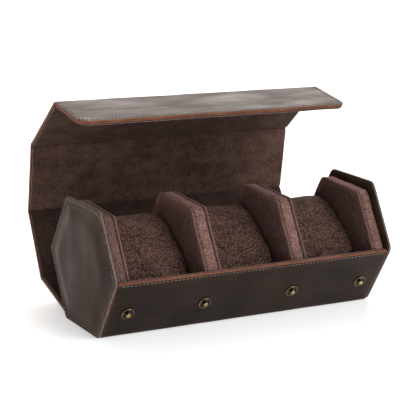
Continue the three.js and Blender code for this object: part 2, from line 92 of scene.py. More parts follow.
class Bench:
    """One finish under construction: a material whose nodes are added and joined by short calls.

    Args:
        name: the material's name.
    """

    def __init__(self, name: str) -> None:
        """Starts the material from its one surface node."""
        self.material = bpy.data.materials.new(name)
        self.material.use_nodes = True
        self.tree = self.material.node_tree
        self.surface = self.tree.nodes["Principled BSDF"]

    def add(self, kind: str, inputs: dict, **settings: object) -> bpy.types.Node:
        """Adds a node.

        Args:
            kind: the node's type, without its ShaderNode prefix.
            inputs: socket name or number to a value or another node's output.
            settings: the node's own options.

        Returns:
            The node.
        """
        node = self.tree.nodes.new("ShaderNode" + kind)
        for name, value in settings.items():
            setattr(node, name, value)
        for key, value in inputs.items():
            self.feed(node.inputs[key], value)
        return node

    def feed(self, socket: bpy.types.NodeSocket, value: object) -> None:
        """Links an output to a socket, or sets the socket's own value.

        Args:
            socket: the socket to fill.
            value: another node's output, a number, or a colour.
        """
        if isinstance(value, bpy.types.NodeSocket):
            self.tree.links.new(value, socket)
        elif hasattr(value, "__len__") and len(value) == 3 and len(socket.default_value) == 4:
            socket.default_value = (*value, 1.0)
        else:
            socket.default_value = value

    def coat(self, **values: object) -> bpy.types.Material:
        """Sets the surface's sockets.

        Args:
            values: a value or an output for each socket, named with underscores for spaces.

        Returns:
            The material.
        """
        for name, value in values.items():
            self.feed(self.surface.inputs[name.replace("_", " ")], value)
        return self.material

    def place(self) -> bpy.types.NodeSocket:
        """Each point's place at rest."""
        return self.add("Attribute", {}, attribute_name=REST_AT).outputs["Vector"]

    def wear(self) -> bpy.types.NodeSocket:
        """How worn each point is, or how deep the shade painted on it is."""
        return self.add("Attribute", {}, attribute_name=WEAR_AND_SHADE).outputs["Fac"]

    def noise(
        self, size: float, detail: float = 2.0, stretch: Axes = (1, 1, 1)
    ) -> bpy.types.NodeSocket:
        """A cloudy pattern.

        Args:
            size: how far apart its clouds are, in metres.
            detail: how many finer layers it has.
            stretch: how much each axis is squeezed.

        Returns:
            The pattern, from 0 to 1 about 0.5.
        """
        at = self.place()
        if stretch != (1, 1, 1):
            at = self.add("Mapping", {"Vector": at, "Scale": stretch}).outputs["Vector"]
        made = self.add("TexNoise", {"Vector": at, "Scale": 1 / size, "Detail": detail})
        return made.outputs["Fac"]

    def cells(self, size: float, stretch: Axes = (1, 1, 1)) -> bpy.types.NodeSocket:
        """Close-packed pits: 0 at the middle of each, rising to its edge.

        Args:
            size: how far apart they are, in metres.
            stretch: how much each axis is squeezed.

        Returns:
            The pattern.
        """
        at = self.add("Mapping", {"Vector": self.place(), "Scale": stretch}).outputs["Vector"]
        made = self.add("TexVoronoi", {"Vector": at, "Scale": 1 / size, "Randomness": 0.9})
        return made.outputs["Distance"]

    def sum(self, kind: str, a: object, b: object) -> bpy.types.NodeSocket:
        """One sum, such as ADD or MULTIPLY, held between 0 and 1."""
        return self.add("Math", {0: a, 1: b}, operation=kind, use_clamp=True).outputs[0]

    def spread(self, value: object, low: float, high: float) -> bpy.types.NodeSocket:
        """value, so that low becomes 0 and high becomes 1."""
        made = self.add("MapRange", {"Value": value, "From Min": low, "From Max": high})
        return made.outputs[0]

    def range(self, value: object, low: float, high: float) -> bpy.types.NodeSocket:
        """value from 0 to 1, carried to low up to high."""
        made = self.add("MapRange", {"Value": value, "To Min": low, "To Max": high})
        return made.outputs[0]

    def mix(self, share: object, a: object, b: object) -> bpy.types.NodeSocket:
        """A colour between a, at a share of 0, and b, at 1."""
        made = self.add("Mix", {0: share, 6: a, 7: b}, data_type="RGBA")
        return made.outputs[2]

    def bump(self, heights: Sequence[tuple[object, float]]) -> bpy.types.NodeSocket:
        """Fine relief.

        Args:
            heights: each pattern and how deep it is, in metres.

        Returns:
            The surface normal.
        """
        normal = None
        for pattern, depth in heights:
            inputs = {"Height": pattern, "Distance": depth, "Strength": 1.0}
            if normal is not None:
                inputs["Normal"] = normal
            normal = self.add("Bump", inputs).outputs["Normal"]
        return normal


@dataclass(frozen=True)
class WaxedLeather:
    """Pull-up leather: dark and waxy, lighter where it is bent or rubbed.

    Args:
        name: the material's name.
        deep: its darkest colour.
        pulled: the colour of its cloudy lighter patches.
        rubbed: the colour along worn edges.
        roughness: of its middle.
        shine: how strongly it reflects.
        grain: how its streaks are stretched along each axis.
    """

    name: str
    deep: Colour
    pulled: Colour
    rubbed: Colour
    roughness: float = 0.42
    shine: float = 0.09
    grain: Axes = (0.3, 1, 1)

    def make(self) -> bpy.types.Material:
        """Builds the material."""
        b = Bench(self.name)
        clouds = b.noise(34 * MM, detail=3)
        streaks = b.noise(13 * MM, detail=4, stretch=self.grain)
        pores = b.noise(0.9 * MM)
        creases = b.noise(4 * MM, detail=3, stretch=self.grain)
        patch = b.sum("ADD", b.spread(clouds, 0.4, 0.8), b.spread(streaks, 0.5, 0.9))
        ground = b.mix(patch, self.deep, self.pulled)
        rub = b.sum("MULTIPLY", b.wear(), b.spread(b.noise(6 * MM, detail=4), 0.3, 0.6))
        worn = b.mix(rub, ground, self.rubbed)
        dryness = b.spread(streaks, 0.3, 0.7)
        return b.coat(
            Base_Color=b.mix(b.spread(pores, 0.52, 0.3), worn, self.deep),
            Roughness=b.range(dryness, self.roughness - 0.1, self.roughness + 0.14),
            Specular_IOR_Level=self.shine,
            Normal=b.bump([(creases, 0.1 * MM), (pores, 0.035 * MM)]),
        )


@dataclass(frozen=True)
class PaintedEdge:
    """Cut leather edges under burnished edge paint.

    Args:
        name: the material's name.
        paint: its main colour.
        bare: where the paint has worn thin.
    """

    name: str
    paint: Colour
    bare: Colour

    def make(self) -> bpy.types.Material:
        """Builds the material."""
        b = Bench(self.name)
        patches = b.spread(b.noise(7 * MM, detail=3), 0.35, 0.7)
        specks = b.noise(1.1 * MM, detail=3, stretch=(0.5, 1, 1))
        colour = b.mix(patches, self.paint, self.bare)
        return b.coat(
            Base_Color=b.mix(b.spread(specks, 0.5, 0.3), colour, self.paint),
            Roughness=b.range(patches, 0.45, 0.65),
            Specular_IOR_Level=0.3,
            Normal=b.bump([(specks, 0.06 * MM)]),
        )


@dataclass(frozen=True)
class BrushedSuede:
    """Microsuede, whose nap lies light or dark as it was last brushed.

    Args:
        name: the material's name.
        shade: the colour between its tufts.
        nap: the colour of its raised tufts.
        seam: the colour of its painted shade in seams, folds, grooves and shaded panels.
        grain: the size of its tufts, in metres.
        brushed: the size of its brushed patches, in metres.
        depth: how deep its tufts are, in metres.
        speckle: how much of its pattern is tufts rather than brushing.
        stretch: how its tufts are stretched along each axis.
        tuft: how far from a tuft's middle the shade shows, and how far from it the nap does.
    """

    name: str
    shade: Colour
    nap: Colour
    seam: Colour
    grain: float = 1.5 * MM
    brushed: float = 14 * MM
    depth: float = 0.35 * MM
    speckle: float = 0.62
    stretch: Axes = (1, 1, 1)
    tuft: tuple[float, float] = (0.62, 0.2)

    def make(self) -> bpy.types.Material:
        """Builds the material."""
        b = Bench(self.name)
        tufts = b.spread(b.cells(self.grain, self.stretch), *self.tuft)
        fibres = b.noise(self.grain * 0.8, detail=3)
        patches = b.noise(self.brushed, detail=3)
        strokes = b.noise(self.brushed * 0.3, detail=3, stretch=(0.6, 1, 1))
        nap = b.sum("MULTIPLY", tufts, b.range(b.spread(fibres, 0.32, 0.62), 0.35, 1.0))
        lay = b.sum("ADD", b.spread(patches, 0.35, 1.0), b.spread(strokes, 0.4, 0.95))
        raised = b.sum("MULTIPLY", nap, self.speckle)
        light = b.sum("ADD", raised, b.sum("MULTIPLY", lay, 1 - self.speckle))
        cloth = b.mix(light, self.shade, self.nap)
        return b.coat(
            # painted shade: the seam colour is mixed in by each point's marks
            Base_Color=b.mix(b.wear(), cloth, self.seam),
            Roughness=b.range(tufts, 0.88, 0.98),
            Specular_IOR_Level=0.12,
            Sheen_Weight=0.08,
            Sheen_Roughness=0.5,
            Sheen_Tint=(0.6, 0.42, 0.36, 1.0),
            Normal=b.bump([(strokes, 0.5 * MM), (tufts, self.depth), (fibres, 0.25 * MM)]),
        )


@dataclass(frozen=True)
class WaxedThread:
    """Twisted linen thread.

    Args:
        name: the material's name.
        thread: its colour.
        soiled: its colour where handling has darkened it.
    """

    name: str
    thread: Colour
    soiled: Colour

    def make(self) -> bpy.types.Material:
        """Builds the material."""
        b = Bench(self.name)
        twist = b.noise(0.3 * MM, detail=1, stretch=(1.6, 1.6, 0.6))
        dirt = b.spread(b.noise(11 * MM, detail=3), 0.4, 0.7)
        return b.coat(
            Base_Color=b.mix(dirt, self.thread, self.soiled),
            Roughness=b.range(dirt, 0.6, 0.8),
            Sheen_Weight=0.2,
            Normal=b.bump([(twist, 0.08 * MM)]),
        )


@dataclass(frozen=True)
class AntiqueBrass:
    """Brass that has darkened in its hollows.

    Args:
        name: the material's name.
        bright: where it is rubbed.
        dull: where it has darkened.
        roughness: of its bright parts.
    """

    name: str
    bright: Colour
    dull: Colour
    roughness: float = 0.24

    def make(self) -> bpy.types.Material:
        """Builds the material."""
        b = Bench(self.name)
        tarnish = b.spread(b.noise(1.6 * MM, detail=4), 0.38, 0.72)
        fine = b.noise(0.25 * MM)
        return b.coat(
            Base_Color=b.mix(tarnish, self.bright, self.dull),
            Metallic=1.0,
            Roughness=b.range(tarnish, self.roughness, self.roughness + 0.2),
            Normal=b.bump([(fine, 0.01 * MM)]),
        )


@dataclass(frozen=True)
class PaleFloor:
    """The plain studio floor, a light table with the faintest mottle.

    Args:
        name: the material's name.
        colour: its main colour.
        mottle: how bright its darker patches are, as a share of that.
        glow: how strongly it is lit from below.
    """

    name: str = "pale_floor"
    colour: Colour = (0.86, 0.86, 0.86)
    mottle: float = 0.985
    glow: float = 0.4

    def make(self) -> bpy.types.Material:
        """Builds the material."""
        b = Bench(self.name)
        at = b.add("TexCoord", {}).outputs["Object"]
        patches = b.add("TexNoise", {"Vector": at, "Scale": 3.0}).outputs["Fac"]
        darker = tuple(self.mottle * c for c in self.colour)
        return b.coat(
            Base_Color=b.mix(patches, self.colour, darker),
            Roughness=0.75,
            Emission_Color=(1.0, 1.0, 1.0),
            Emission_Strength=self.glow,
        )


class Finish(Enum):
    """Every finish on the roll."""

    OUTER = WaxedLeather(
        "waxed_outer_leather",
        deep=(0.010, 0.005, 0.0034),
        pulled=(0.031, 0.0172, 0.0115),
        rubbed=(0.085, 0.042, 0.025),
    )
    CAP = WaxedLeather(
        "waxed_cap_leather",
        deep=(0.029, 0.0178, 0.0125),
        pulled=(0.082, 0.051, 0.035),
        rubbed=(0.17, 0.112, 0.078),
        shine=0.07,
        grain=(1, 1, 0.2),
    )
    EDGE = PaintedEdge("worn_edge_paint", (0.14, 0.044, 0.020), (0.25, 0.10, 0.05))
    SEAM = PaintedEdge("glued_edge_line", (0.010, 0.006, 0.005), (0.022, 0.013, 0.010))
    RIM = PaintedEdge("cap_cut_edge", (0.09, 0.067, 0.068), (0.17, 0.13, 0.13))
    LINING = BrushedSuede(
        "brushed_lining",
        shade=(0.046, 0.0242, 0.019),
        nap=(0.168, 0.0985, 0.076),
        seam=(0.006, 0.004, 0.004),
        grain=1.5 * MM,
        brushed=20 * MM,
        depth=0.2 * MM,
        speckle=0.5,
        stretch=(1.15, 0.8, 0.8),
    )
    FRAY = BrushedSuede(
        "lining_cut_edge",
        shade=(0.12, 0.078, 0.066),
        nap=(0.42, 0.3, 0.26),
        seam=(0.09, 0.055, 0.045),
        grain=0.9 * MM,
        brushed=4 * MM,
    )
    PAD = BrushedSuede(
        "brushed_pad",
        shade=(0.036, 0.0175, 0.0155),
        nap=(0.31, 0.172, 0.147),
        seam=(0.010, 0.006, 0.005),
        grain=1.25 * MM,
        speckle=0.7,
        tuft=(0.16, 0.44),
    )
    PILLOW = BrushedSuede(
        "brushed_pillow",
        shade=(0.022, 0.0105, 0.0085),
        nap=(0.23, 0.128, 0.102),
        seam=(0.008, 0.005, 0.004),
        grain=1.5 * MM,
        speckle=0.7,
    )
    PIPING = BrushedSuede(
        "brushed_ridge",
        shade=(0.05, 0.026, 0.022),
        nap=(0.265, 0.148, 0.125),
        seam=(0.02, 0.012, 0.01),
        grain=1.0 * MM,
        brushed=6 * MM,
        tuft=(0.1, 0.4),
    )
    THREAD = WaxedThread("waxed_thread", (0.165, 0.118, 0.09), (0.085, 0.058, 0.045))
    SEWING = WaxedThread("dark_thread", (0.05, 0.029, 0.025), (0.028, 0.017, 0.014))
    BRASS = AntiqueBrass("antique_brass", (0.56, 0.385, 0.165), (0.14, 0.09, 0.04))
    AGED = AntiqueBrass("aged_brass", (0.36, 0.245, 0.11), (0.09, 0.06, 0.03), 0.3)
    BLACKED = AntiqueBrass("blacked_brass", (0.03, 0.028, 0.027), (0.008, 0.008, 0.008), 0.14)
    FLOOR = PaleFloor()

    def material(self) -> bpy.types.Material:
        """The finish's material, made the first time that it is asked for."""
        found = bpy.data.materials.get(self.value.name)
        return found or self.value.make()


# ---- Mesh work -----------------------------------------------------------------------------


def waves(at: np.ndarray, size: float, seed: int) -> np.ndarray:
    """A smooth uneven swell.

    Args:
        at: points, in metres.
        size: how far apart the swells are.
        seed: which of many like patterns.

    Returns:
        One number for each point, mostly from -1 to 1.
    """
    draw = np.random.default_rng(seed)
    total = np.zeros(len(at))
    for _ in range(SWELLS):
        way = draw.normal(size=3)
        way *= draw.uniform(0.6, 1.5) / np.linalg.norm(way)
        total += np.sin(at @ way * (2 * math.pi / size) + draw.uniform(0, 2 * math.pi))
    return total / (SWELLS / 2)


@dataclass(frozen=True)
class Unevenness:
    """How unevenly a soft surface lies.

    Args:
        depth: how far it moves points, in metres.
        size: how far apart its swells are.
    """

    depth: float
    size: float

    def lift(self, at: np.ndarray, seed: int) -> np.ndarray:
        """How far it moves each point, in the like pattern that the seed picks."""
        return self.depth * waves(at, self.size, seed)


def make_object(name: str, points: np.ndarray, faces: Sequence[Sequence[int]]) -> bpy.types.Object:
    """A smooth-shaded mesh object whose faces all point out.

    Args:
        name: the piece's name.
        points: its vertices, in metres.
        faces: its faces, as vertex numbers.

    Returns:
        The object, linked to the scene.
    """
    mesh = bpy.data.meshes.new(name)
    mesh.from_pydata(np.asarray(points, float).tolist(), [], [list(map(int, f)) for f in faces])
    work = bmesh.new()
    work.from_mesh(mesh)
    bmesh.ops.recalc_face_normals(work, faces=work.faces)
    work.to_mesh(mesh)
    work.free()
    mesh.shade_smooth()
    mesh.set_sharp_from_angle(angle=SHARPEST_SMOOTH)
    made = bpy.data.objects.new(name, mesh)
    bpy.context.scene.collection.objects.link(made)
    return made


def points_of(piece: bpy.types.Object) -> np.ndarray:
    """A piece's vertices as an array."""
    flat = np.empty(len(piece.data.vertices) * 3, np.float32)
    piece.data.vertices.foreach_get("co", flat)
    return flat.reshape(-1, 3).astype(float)


def move_points(piece: bpy.types.Object, points: np.ndarray) -> None:
    """Puts a piece's vertices at new places."""
    piece.data.vertices.foreach_set("co", points.astype(np.float32).ravel())
    piece.data.update()


def record_rest(piece: bpy.types.Object, wear: np.ndarray | None = None) -> bpy.types.Object:
    """Writes the two attributes that every finish reads.

    Args:
        piece: a piece whose mesh is final.
        wear: how worn each vertex is, or how deep the shade painted on it is; none where it is left
            out.

    Returns:
        The same piece.
    """
    points = points_of(piece)
    marks = np.zeros(len(points)) if wear is None else np.clip(wear, 0, 1)
    at = piece.data.attributes.new(REST_AT, "FLOAT_VECTOR", "POINT")
    at.data.foreach_set("vector", points.astype(np.float32).ravel())
    worn = piece.data.attributes.new(WEAR_AND_SHADE, "FLOAT", "POINT")
    worn.data.foreach_set("value", marks.astype(np.float32))
    return piece


def paint(piece: bpy.types.Object, *finishes: Finish) -> bpy.types.Object:
    """Gives a piece its finishes, in the order of its faces' material numbers."""
    for finish in finishes:
        piece.data.materials.append(finish.material())
    return piece


def band_faces(first: int, second: int, count: int) -> list[tuple[int, int, int, int]]:
    """The faces between two closed rings of vertices that start at those numbers."""
    return [
        (first + i, first + (i + 1) % count, second + (i + 1) % count, second + i)
        for i in range(count)
    ]


def lofted(name: str, rings: Sequence[np.ndarray], tips: bool = True) -> bpy.types.Object:
    """A closed piece skinned over a row of rings.

    Args:
        name: the piece's name.
        rings: arrays of points, all as long as each other.
        tips: whether the two ends close on a middle point; if not, the last ring meets the first.

    Returns:
        The object.
    """
    count = len(rings[0])
    points = np.concatenate(rings)
    faces: list[tuple[int, ...]] = []
    for i in range(len(rings) - 1):
        faces += band_faces(i * count, (i + 1) * count, count)
    last = (len(rings) - 1) * count
    if tips:
        ends = [rings[0].mean(0), rings[-1].mean(0)]
        points = np.concatenate([points, ends])
        for middle, start in ((len(points) - 2, 0), (len(points) - 1, last)):
            faces += [(start + i, start + (i + 1) % count, middle) for i in range(count)]
    else:
        faces += band_faces(last, 0, count)
    return make_object(name, points, faces)


def turned(name: str, profile: Sequence[tuple[float, float]], steps: int = 48) -> bpy.types.Object:
    """A profile of (radius, height), from axis to axis, turned about Z."""
    angles = np.linspace(0, 2 * math.pi, steps, endpoint=False)
    rings = [
        np.stack([r * np.cos(angles), r * np.sin(angles), np.full(steps, z)], 1)
        for r, z in profile
    ]
    return lofted(name, rings)


def smoothed(corners: Sequence[tuple[float, float]], rounds: int = 2) -> list[tuple[float, float]]:
    """An open profile with its corners cut off again and again, which keeps its two ends."""
    line = [np.array(c, float) for c in corners]
    for _ in range(rounds):
        cut = [line[0]]
        for a, b in zip(line, line[1:]):
            cut += [a * 0.75 + b * 0.25, a * 0.25 + b * 0.75]
        line = [*cut, line[-1]]
    return [(float(p[0]), float(p[1])) for p in line]


def bake(piece: bpy.types.Object) -> None:
    """Makes what a piece's modifiers give its own mesh, and removes them."""
    seen = piece.evaluated_get(bpy.context.evaluated_depsgraph_get())
    mesh = bpy.data.meshes.new_from_object(seen)
    old = piece.data
    piece.modifiers.clear()
    piece.data = mesh
    mesh.name = piece.name
    bpy.data.meshes.remove(old)


def bored(piece: bpy.types.Object, drills: Iterable[bpy.types.Object]) -> None:
    """Cuts each drill's form out of a piece; the drills are used up."""
    for drill in drills:
        hole = piece.modifiers.new("hole", "BOOLEAN")
        hole.operation, hole.object, hole.solver = "DIFFERENCE", drill, "EXACT"
        bpy.context.view_layer.update()
        bake(piece)
        bpy.data.objects.remove(drill)


@dataclass(frozen=True)
class Filling:
    """The stuffing of a suede piece, which swells its cloth.

    Args:
        voxel: the size of the cloth's faces.
        pressure: how hard the stuffing presses.
        reach: the furthest that a point may move.
        stiffness: how hard the cloth is to stretch or squash.
        bending: how hard it is to bend.
        mass: of the cloth.
        quality: how many steps the simulation takes a frame.
        frames: how long it runs.
    """

    voxel: float
    pressure: float
    reach: float
    stiffness: float = 18
    bending: float = 0.6
    mass: float = 0.3
    quality: int = 6
    frames: int = 20

    def swell(
        self, piece: bpy.types.Object, slack: Callable[[np.ndarray], np.ndarray]
    ) -> None:
        """Remeshes a piece, simulates it as filled cloth and keeps the result, made finer.

        Args:
            piece: a closed form, a little smaller than the stuffed one.
            slack: gives points' freedom to move, from 0 at a seam to 1.
        """
        remesh = piece.modifiers.new("even", "REMESH")
        remesh.mode, remesh.voxel_size, remesh.use_smooth_shade = "VOXEL", self.voxel, True
        bake(piece)
        before = points_of(piece)
        self.pump(piece)
        step = points_of(piece) - before
        length = np.linalg.norm(step, axis=1)
        share = self.reach * np.tanh(length / self.reach) / np.maximum(length, TINY)
        move_points(piece, before + step * (share * slack(before))[:, None])
        finer = piece.modifiers.new("finer", "SUBSURF")
        finer.levels = finer.render_levels = 1
        bake(piece)
        piece.data.shade_smooth()

    def pump(self, piece: bpy.types.Object) -> None:
        """Runs the cloth under pressure from the first frame, and keeps the last frame's shape."""
        cloth = piece.modifiers.new("filling", "CLOTH")
        cloth.settings.quality = self.quality
        cloth.settings.mass = self.mass
        cloth.settings.tension_stiffness = self.stiffness
        cloth.settings.compression_stiffness = self.stiffness
        cloth.settings.bending_stiffness = self.bending
        cloth.settings.use_pressure = True
        cloth.settings.uniform_pressure_force = self.pressure
        cloth.settings.effector_weights.gravity = 0
        cloth.collision_settings.use_collision = False
        cloth.point_cache.frame_start, cloth.point_cache.frame_end = 1, self.frames
        for number in range(1, self.frames + 1):
            bpy.context.scene.frame_set(number)
        bake(piece)
        bpy.context.scene.frame_set(1)


def vertices_of(node: str) -> np.ndarray:
    """A frame node's vertices at rest, in metres."""
    return points_of(frame["nodes"][node])


# ---- The folded wrap -----------------------------------------------------------------------


class FoldLine:
    """The strip's course, seen from the left end: panels joined by bends, from the front panel's
    free edge under the base, up the back and over to the flap's free edge. A place on it is how
    far along it is and how far inside the fold plane.

    Args:
        bend: the radius of each bend at the fold plane, in metres.
    """

    LID = ("back_low", "back_high", "top", "brow", "flap")

    def __init__(self, bend: float) -> None:
        """Reads the folds' places and each panel's direction from the frame."""
        self.bend = bend
        joints = {j["name"]: j for j in frame["joints"]}
        lid = [joints["fold_" + name] for name in self.LID]
        front = vertices_of("leather_front")
        edge = front[front[:, 2] > front[:, 2].max() - 1 * MM].mean(0)[1:]
        low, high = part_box("fold_front")
        middle = (low + high) / 2
        points = [edge, np.array((middle.y, middle.z))]
        points += [np.array(j["pos_m"][1:]) for j in lid]
        steps = np.diff(np.array(points), axis=0)
        angles = list(np.arctan2(steps[:, 1], steps[:, 0]))
        angles.append(sum(math.radians(j["range_deg"][1]) for j in lid))
        way = np.array((math.cos(angles[-1]), math.sin(angles[-1])))
        last = ((vertices_of("leather_flap")[:, 1:] - points[-1]) @ way).max()
        self.points = np.array([*points, points[-1] + way * last])
        self.angles = np.array(angles)
        lengths = np.linalg.norm(np.diff(self.points, axis=0), axis=1)
        self.marks = np.concatenate([[0.0], np.cumsum(lengths)])

    def at(self, x: np.ndarray, along: np.ndarray, inside: np.ndarray) -> np.ndarray:
        """Places on the strip as points.

        Args:
            x: along the roll.
            along: along the strip, from the front panel's free edge.
            inside: from the fold plane towards the inside.

        Returns:
            An array of points.
        """
        along = np.asarray(along, float)
        panel = np.searchsorted(self.marks, along, side="right") - 1
        panel = np.clip(panel, 0, len(self.angles) - 1)
        way = self.angles[panel]
        past = along - self.marks[panel]
        y = self.points[panel, 0] + past * np.cos(way)
        z = self.points[panel, 1] + past * np.sin(way)
        for k in range(1, len(self.angles)):
            before, after = self.angles[k - 1], self.angles[k]
            half = self.bend * math.tan((after - before) / 2)
            share = (along - self.marks[k]) / half
            near = np.abs(share) < 1
            middle = (before + after) / 2
            reach = self.bend / math.cos((after - before) / 2)
            hub = self.points[k] + reach * np.array((-math.sin(middle), math.cos(middle)))
            angle = before + (share + 1) / 2 * (after - before)
            y = np.where(near, hub[0] + self.bend * np.sin(angle), y)
            z = np.where(near, hub[1] - self.bend * np.cos(angle), z)
            way = np.where(near, angle, way)
        return np.stack([x + 0 * y, y - inside * np.sin(way), z + inside * np.cos(way)], -1)

    def from_fold(self, along: np.ndarray) -> np.ndarray:
        """How far each place is from the nearest fold."""
        return np.abs(np.asarray(along)[..., None] - self.marks[1:-1]).min(-1)

    def middle(self, panel: int) -> float:
        """How far along the strip the middle of a panel is."""
        return (self.marks[panel] + self.marks[panel + 1]) / 2

    def point(self, along: float) -> tuple[float, float, float]:
        """A place on the fold plane, in the middle of the roll."""
        spot = self.at(np.array([0.0]), np.array([along]), np.array([0.0]))[0]
        return tuple(float(v) for v in spot)


class Face(Enum):
    """Which face of a layer a strip of its skin is on; the value is its material number."""

    OUTER = 0
    EDGE = 1
    SEAM = 2
    INNER = 3


@dataclass(frozen=True)
class Layer:
    """A layer of the strip, and how its edge is shaped.

    Args:
        name: what its pieces are called.
        half_width: half its width along X.
        outer: its outer face, inside the fold plane.
        inner: its inner face, inside the fold plane.
        trim: how far its free ends stop short of the strip's.
        edge: steps round its edge from outer to inner face, each an inset in metres, a share of
            the thickness and the face that leads there.
        dip: how far it is pressed in at a fold, as a share of its inner face's height.
        swell: how unevenly it lies.
    """

    name: str
    half_width: float
    outer: float
    inner: float
    trim: float
    edge: tuple[tuple[float, float, Face], ...]
    dip: float
    swell: Unevenness


@dataclass(frozen=True)
class Stretch:
    """A piece of the strip between two places on it.

    Args:
        name: of its piece.
        start: its first place along the strip.
        end: its last place.
        bodies: the one body that it rides on, or the two that it bends between.
        fold: the number of the fold that it bends at, for two bodies.
        open_start: whether its start is a free edge.
        open_end: whether its end is a free edge.
    """

    name: str
    start: float
    end: float
    bodies: tuple[str, ...]
    fold: int = 0
    open_start: bool = False
    open_end: bool = False


@dataclass
class Wrap:
    """The strip of leather and lining, in stretches that meet in the middle of the panels."""

    bend: float = 2.2 * MM  # the radius of each bend
    fold_reach: float = 4.5 * MM  # from a fold to where the strip is flat again
    column: float = 2.4 * MM  # the width of its faces across the strip
    far_step: float = 4.0 * MM  # their length away from the folds
    near_step: float = 0.6 * MM  # their length in a fold
    front_corner: float = 2.0 * MM
    front_steps: int = 6  # the faces round a front corner
    flap_corner: float = 8.0 * MM
    flap_steps: int = 12  # the faces round a flap corner
    swell_size: float = 31 * MM  # how far apart the swells of both layers are
    swell_seed: int = 5
    lining_margin: float = 0.5 * MM  # from the leather's edges to the lining's
    crease_reach: float = 1.1 * MM  # how far painted fold shade and rubbed edges spread from a fold or an edge
    crease_shade: float = 0.7  # painted shade in the lining's folds
    fold_rub: float = 0.4 * MM  # how far a fold is from being rubbed as an edge is
    thread_radius: float = 0.3 * MM
    stitch_pitch: float = 3.0 * MM
    stitch_length: float = 2.2 * MM
    stitch_inset: float = 2.6 * MM  # from the sides and the flap's edge
    front_stitch_inset: float = 1.7 * MM  # from the front panel's top edge
    socket_room: float = 0.2 * MM  # round a socket in its hole
    drill_floor: float = 0.35 * MM  # where a socket's hole starts, inside the fold plane
    drill_top: float = 5 * MM  # a height that is clear of the lining
    drill_steps: int = 40
    darkening: tuple[float, ...] = (0.4, 0.4, 0.62, 0.62, 0.0, 0.36, 0.15)  # painted shade, panel by panel
    line: FoldLine = field(init=False)
    leather: Layer = field(init=False)
    lining: Layer = field(init=False)

    def __post_init__(self) -> None:
        """Takes the layers' sizes from the frame."""
        self.line = FoldLine(self.bend)
        low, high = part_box("leather_base")
        inner_low, inner_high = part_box("lining_base")
        half = (high.x - low.x) / 2
        thick = high.z - low.z
        lining_inner = inner_high.z - thick / 2
        lining_outer = inner_low.z - thick / 2
        e, s = Face.EDGE, Face.SEAM
        self.leather = Layer(
            name="leather",
            half_width=half,
            outer=-thick / 2,
            inner=lining_outer,
            trim=0.0,
            edge=(
                (0.60 * MM, 0.00, Face.OUTER),
                (0.26 * MM, 0.03, Face.OUTER),
                (0.06 * MM, 0.10, e),
                (0.00 * MM, 0.20, e),
                (0.02 * MM, 0.32, e),
                (0.30 * MM, 0.38, e),
                (0.30 * MM, 0.43, s),
                (0.00 * MM, 0.49, e),
                (0.00 * MM, 0.70, e),
                (0.20 * MM, 0.80, e),
                (0.75 * MM, 0.84, s),
                (0.85 * MM, 1.00, s),
            ),
            dip=0.4,
            swell=Unevenness(0.10 * MM, self.swell_size),
        )
        self.lining = Layer(
            name="lining",
            half_width=half - self.lining_margin,
            outer=lining_outer + 0.06 * MM,
            inner=lining_inner + 0.12 * MM,
            trim=self.lining_margin,
            edge=(
                (0.25 * MM, 0.00, Face.OUTER),
                (0.00 * MM, 0.30, e),
                (0.00 * MM, 0.70, e),
                (0.35 * MM, 1.00, e),
            ),
            dip=0.3,
            swell=Unevenness(0.14 * MM, self.swell_size),
        )

    def stretches(self) -> list[Stretch]:
        """The strip's pieces, from the front panel round to the flap."""
        line, lid = self.line, FoldLine.LID
        made = [Stretch("front", line.marks[0], line.middle(1), ("trough",), open_start=True)]
        bodies = ["trough", *("lid_" + name for name in lid)]
        for k, name in enumerate(lid):
            last = k == len(lid) - 1
            end = line.marks[-1] if last else line.middle(k + 2)
            pair = (bodies[k], bodies[k + 1])
            made.append(Stretch(name, line.middle(k + 1), end, pair, fold=k + 2, open_end=last))
        return made

    def rows(self, part: Stretch, layer: Layer) -> np.ndarray:
        """The rows of a stretch's mesh.

        Args:
            part: the stretch.
            layer: the layer.

        Returns:
            For each row, its place along the strip, its half width, and its outline's normal
            across and along.
        """
        front = self.front_corner if part.open_start else 0.0
        flap = self.flap_corner if part.open_end else 0.0
        first = part.start + (layer.trim if part.open_start else 0) + front
        last = part.end - (layer.trim if part.open_end else 0) - flap
        wide = layer.half_width
        rows = [(spot, wide, 1.0, 0.0) for spot in self.row_places(first, last)]
        if part.open_start:
            turn = np.linspace(math.pi / 2, 0, self.front_steps + 1)[:-1]
            rows = [self.corner_row(first, wide, front, a, -1) for a in turn] + rows
        if part.open_end:
            turn = np.linspace(0, math.pi / 2, self.flap_steps + 1)[1:]
            rows += [self.corner_row(last, wide, flap, a, 1) for a in turn]
        return np.array(rows)

    @staticmethod
    def corner_row(
        hub: float, wide: float, corner: float, angle: float, way: int
    ) -> tuple[float, float, float, float]:
        """One row of a rounded corner.

        Args:
            hub: the place of the corner's middle along the strip.
            wide: the strip's half width.
            corner: the corner's radius.
            angle: how far round the corner the row is, in radians.
            way: 1 for a corner past its hub, -1 for one before it.

        Returns:
            What rows gives for it.
        """
        sine, cosine = math.sin(angle), math.cos(angle)
        return hub + way * corner * sine, wide - corner * (1 - cosine), cosine, way * sine

    def row_places(self, first: float, last: float) -> list[float]:
        """Where rows go between two places on the strip: close together in the folds.

        Args:
            first: the first place.
            last: the last place.

        Returns:
            Every place, with both ends.
        """
        places, at = [], first
        while at < last - 0.3 * self.near_step:
            places.append(at)
            here, ahead = self.line.from_fold(np.array([at, at + self.near_step])) - self.fold_reach
            step = self.near_step if ahead < 0 else self.far_step
            if ahead >= 0 and 0 < here < step:
                step = max(here, self.near_step)
            at += step
        return [*places, last]

    def sheet(self, part: Stretch, layer: Layer) -> bpy.types.Object:
        """One closed piece of a layer.

        Args:
            part: the stretch that it covers.
            layer: the layer.

        Returns:
            The piece, with each face's material number set and its wear recorded.
        """
        rows = self.rows(part, layer)
        height = len(rows)
        count = 2 * round(layer.half_width / self.column) + 1
        columns = np.linspace(-1, 1, count)
        loop = self.rim_loop(height, count)

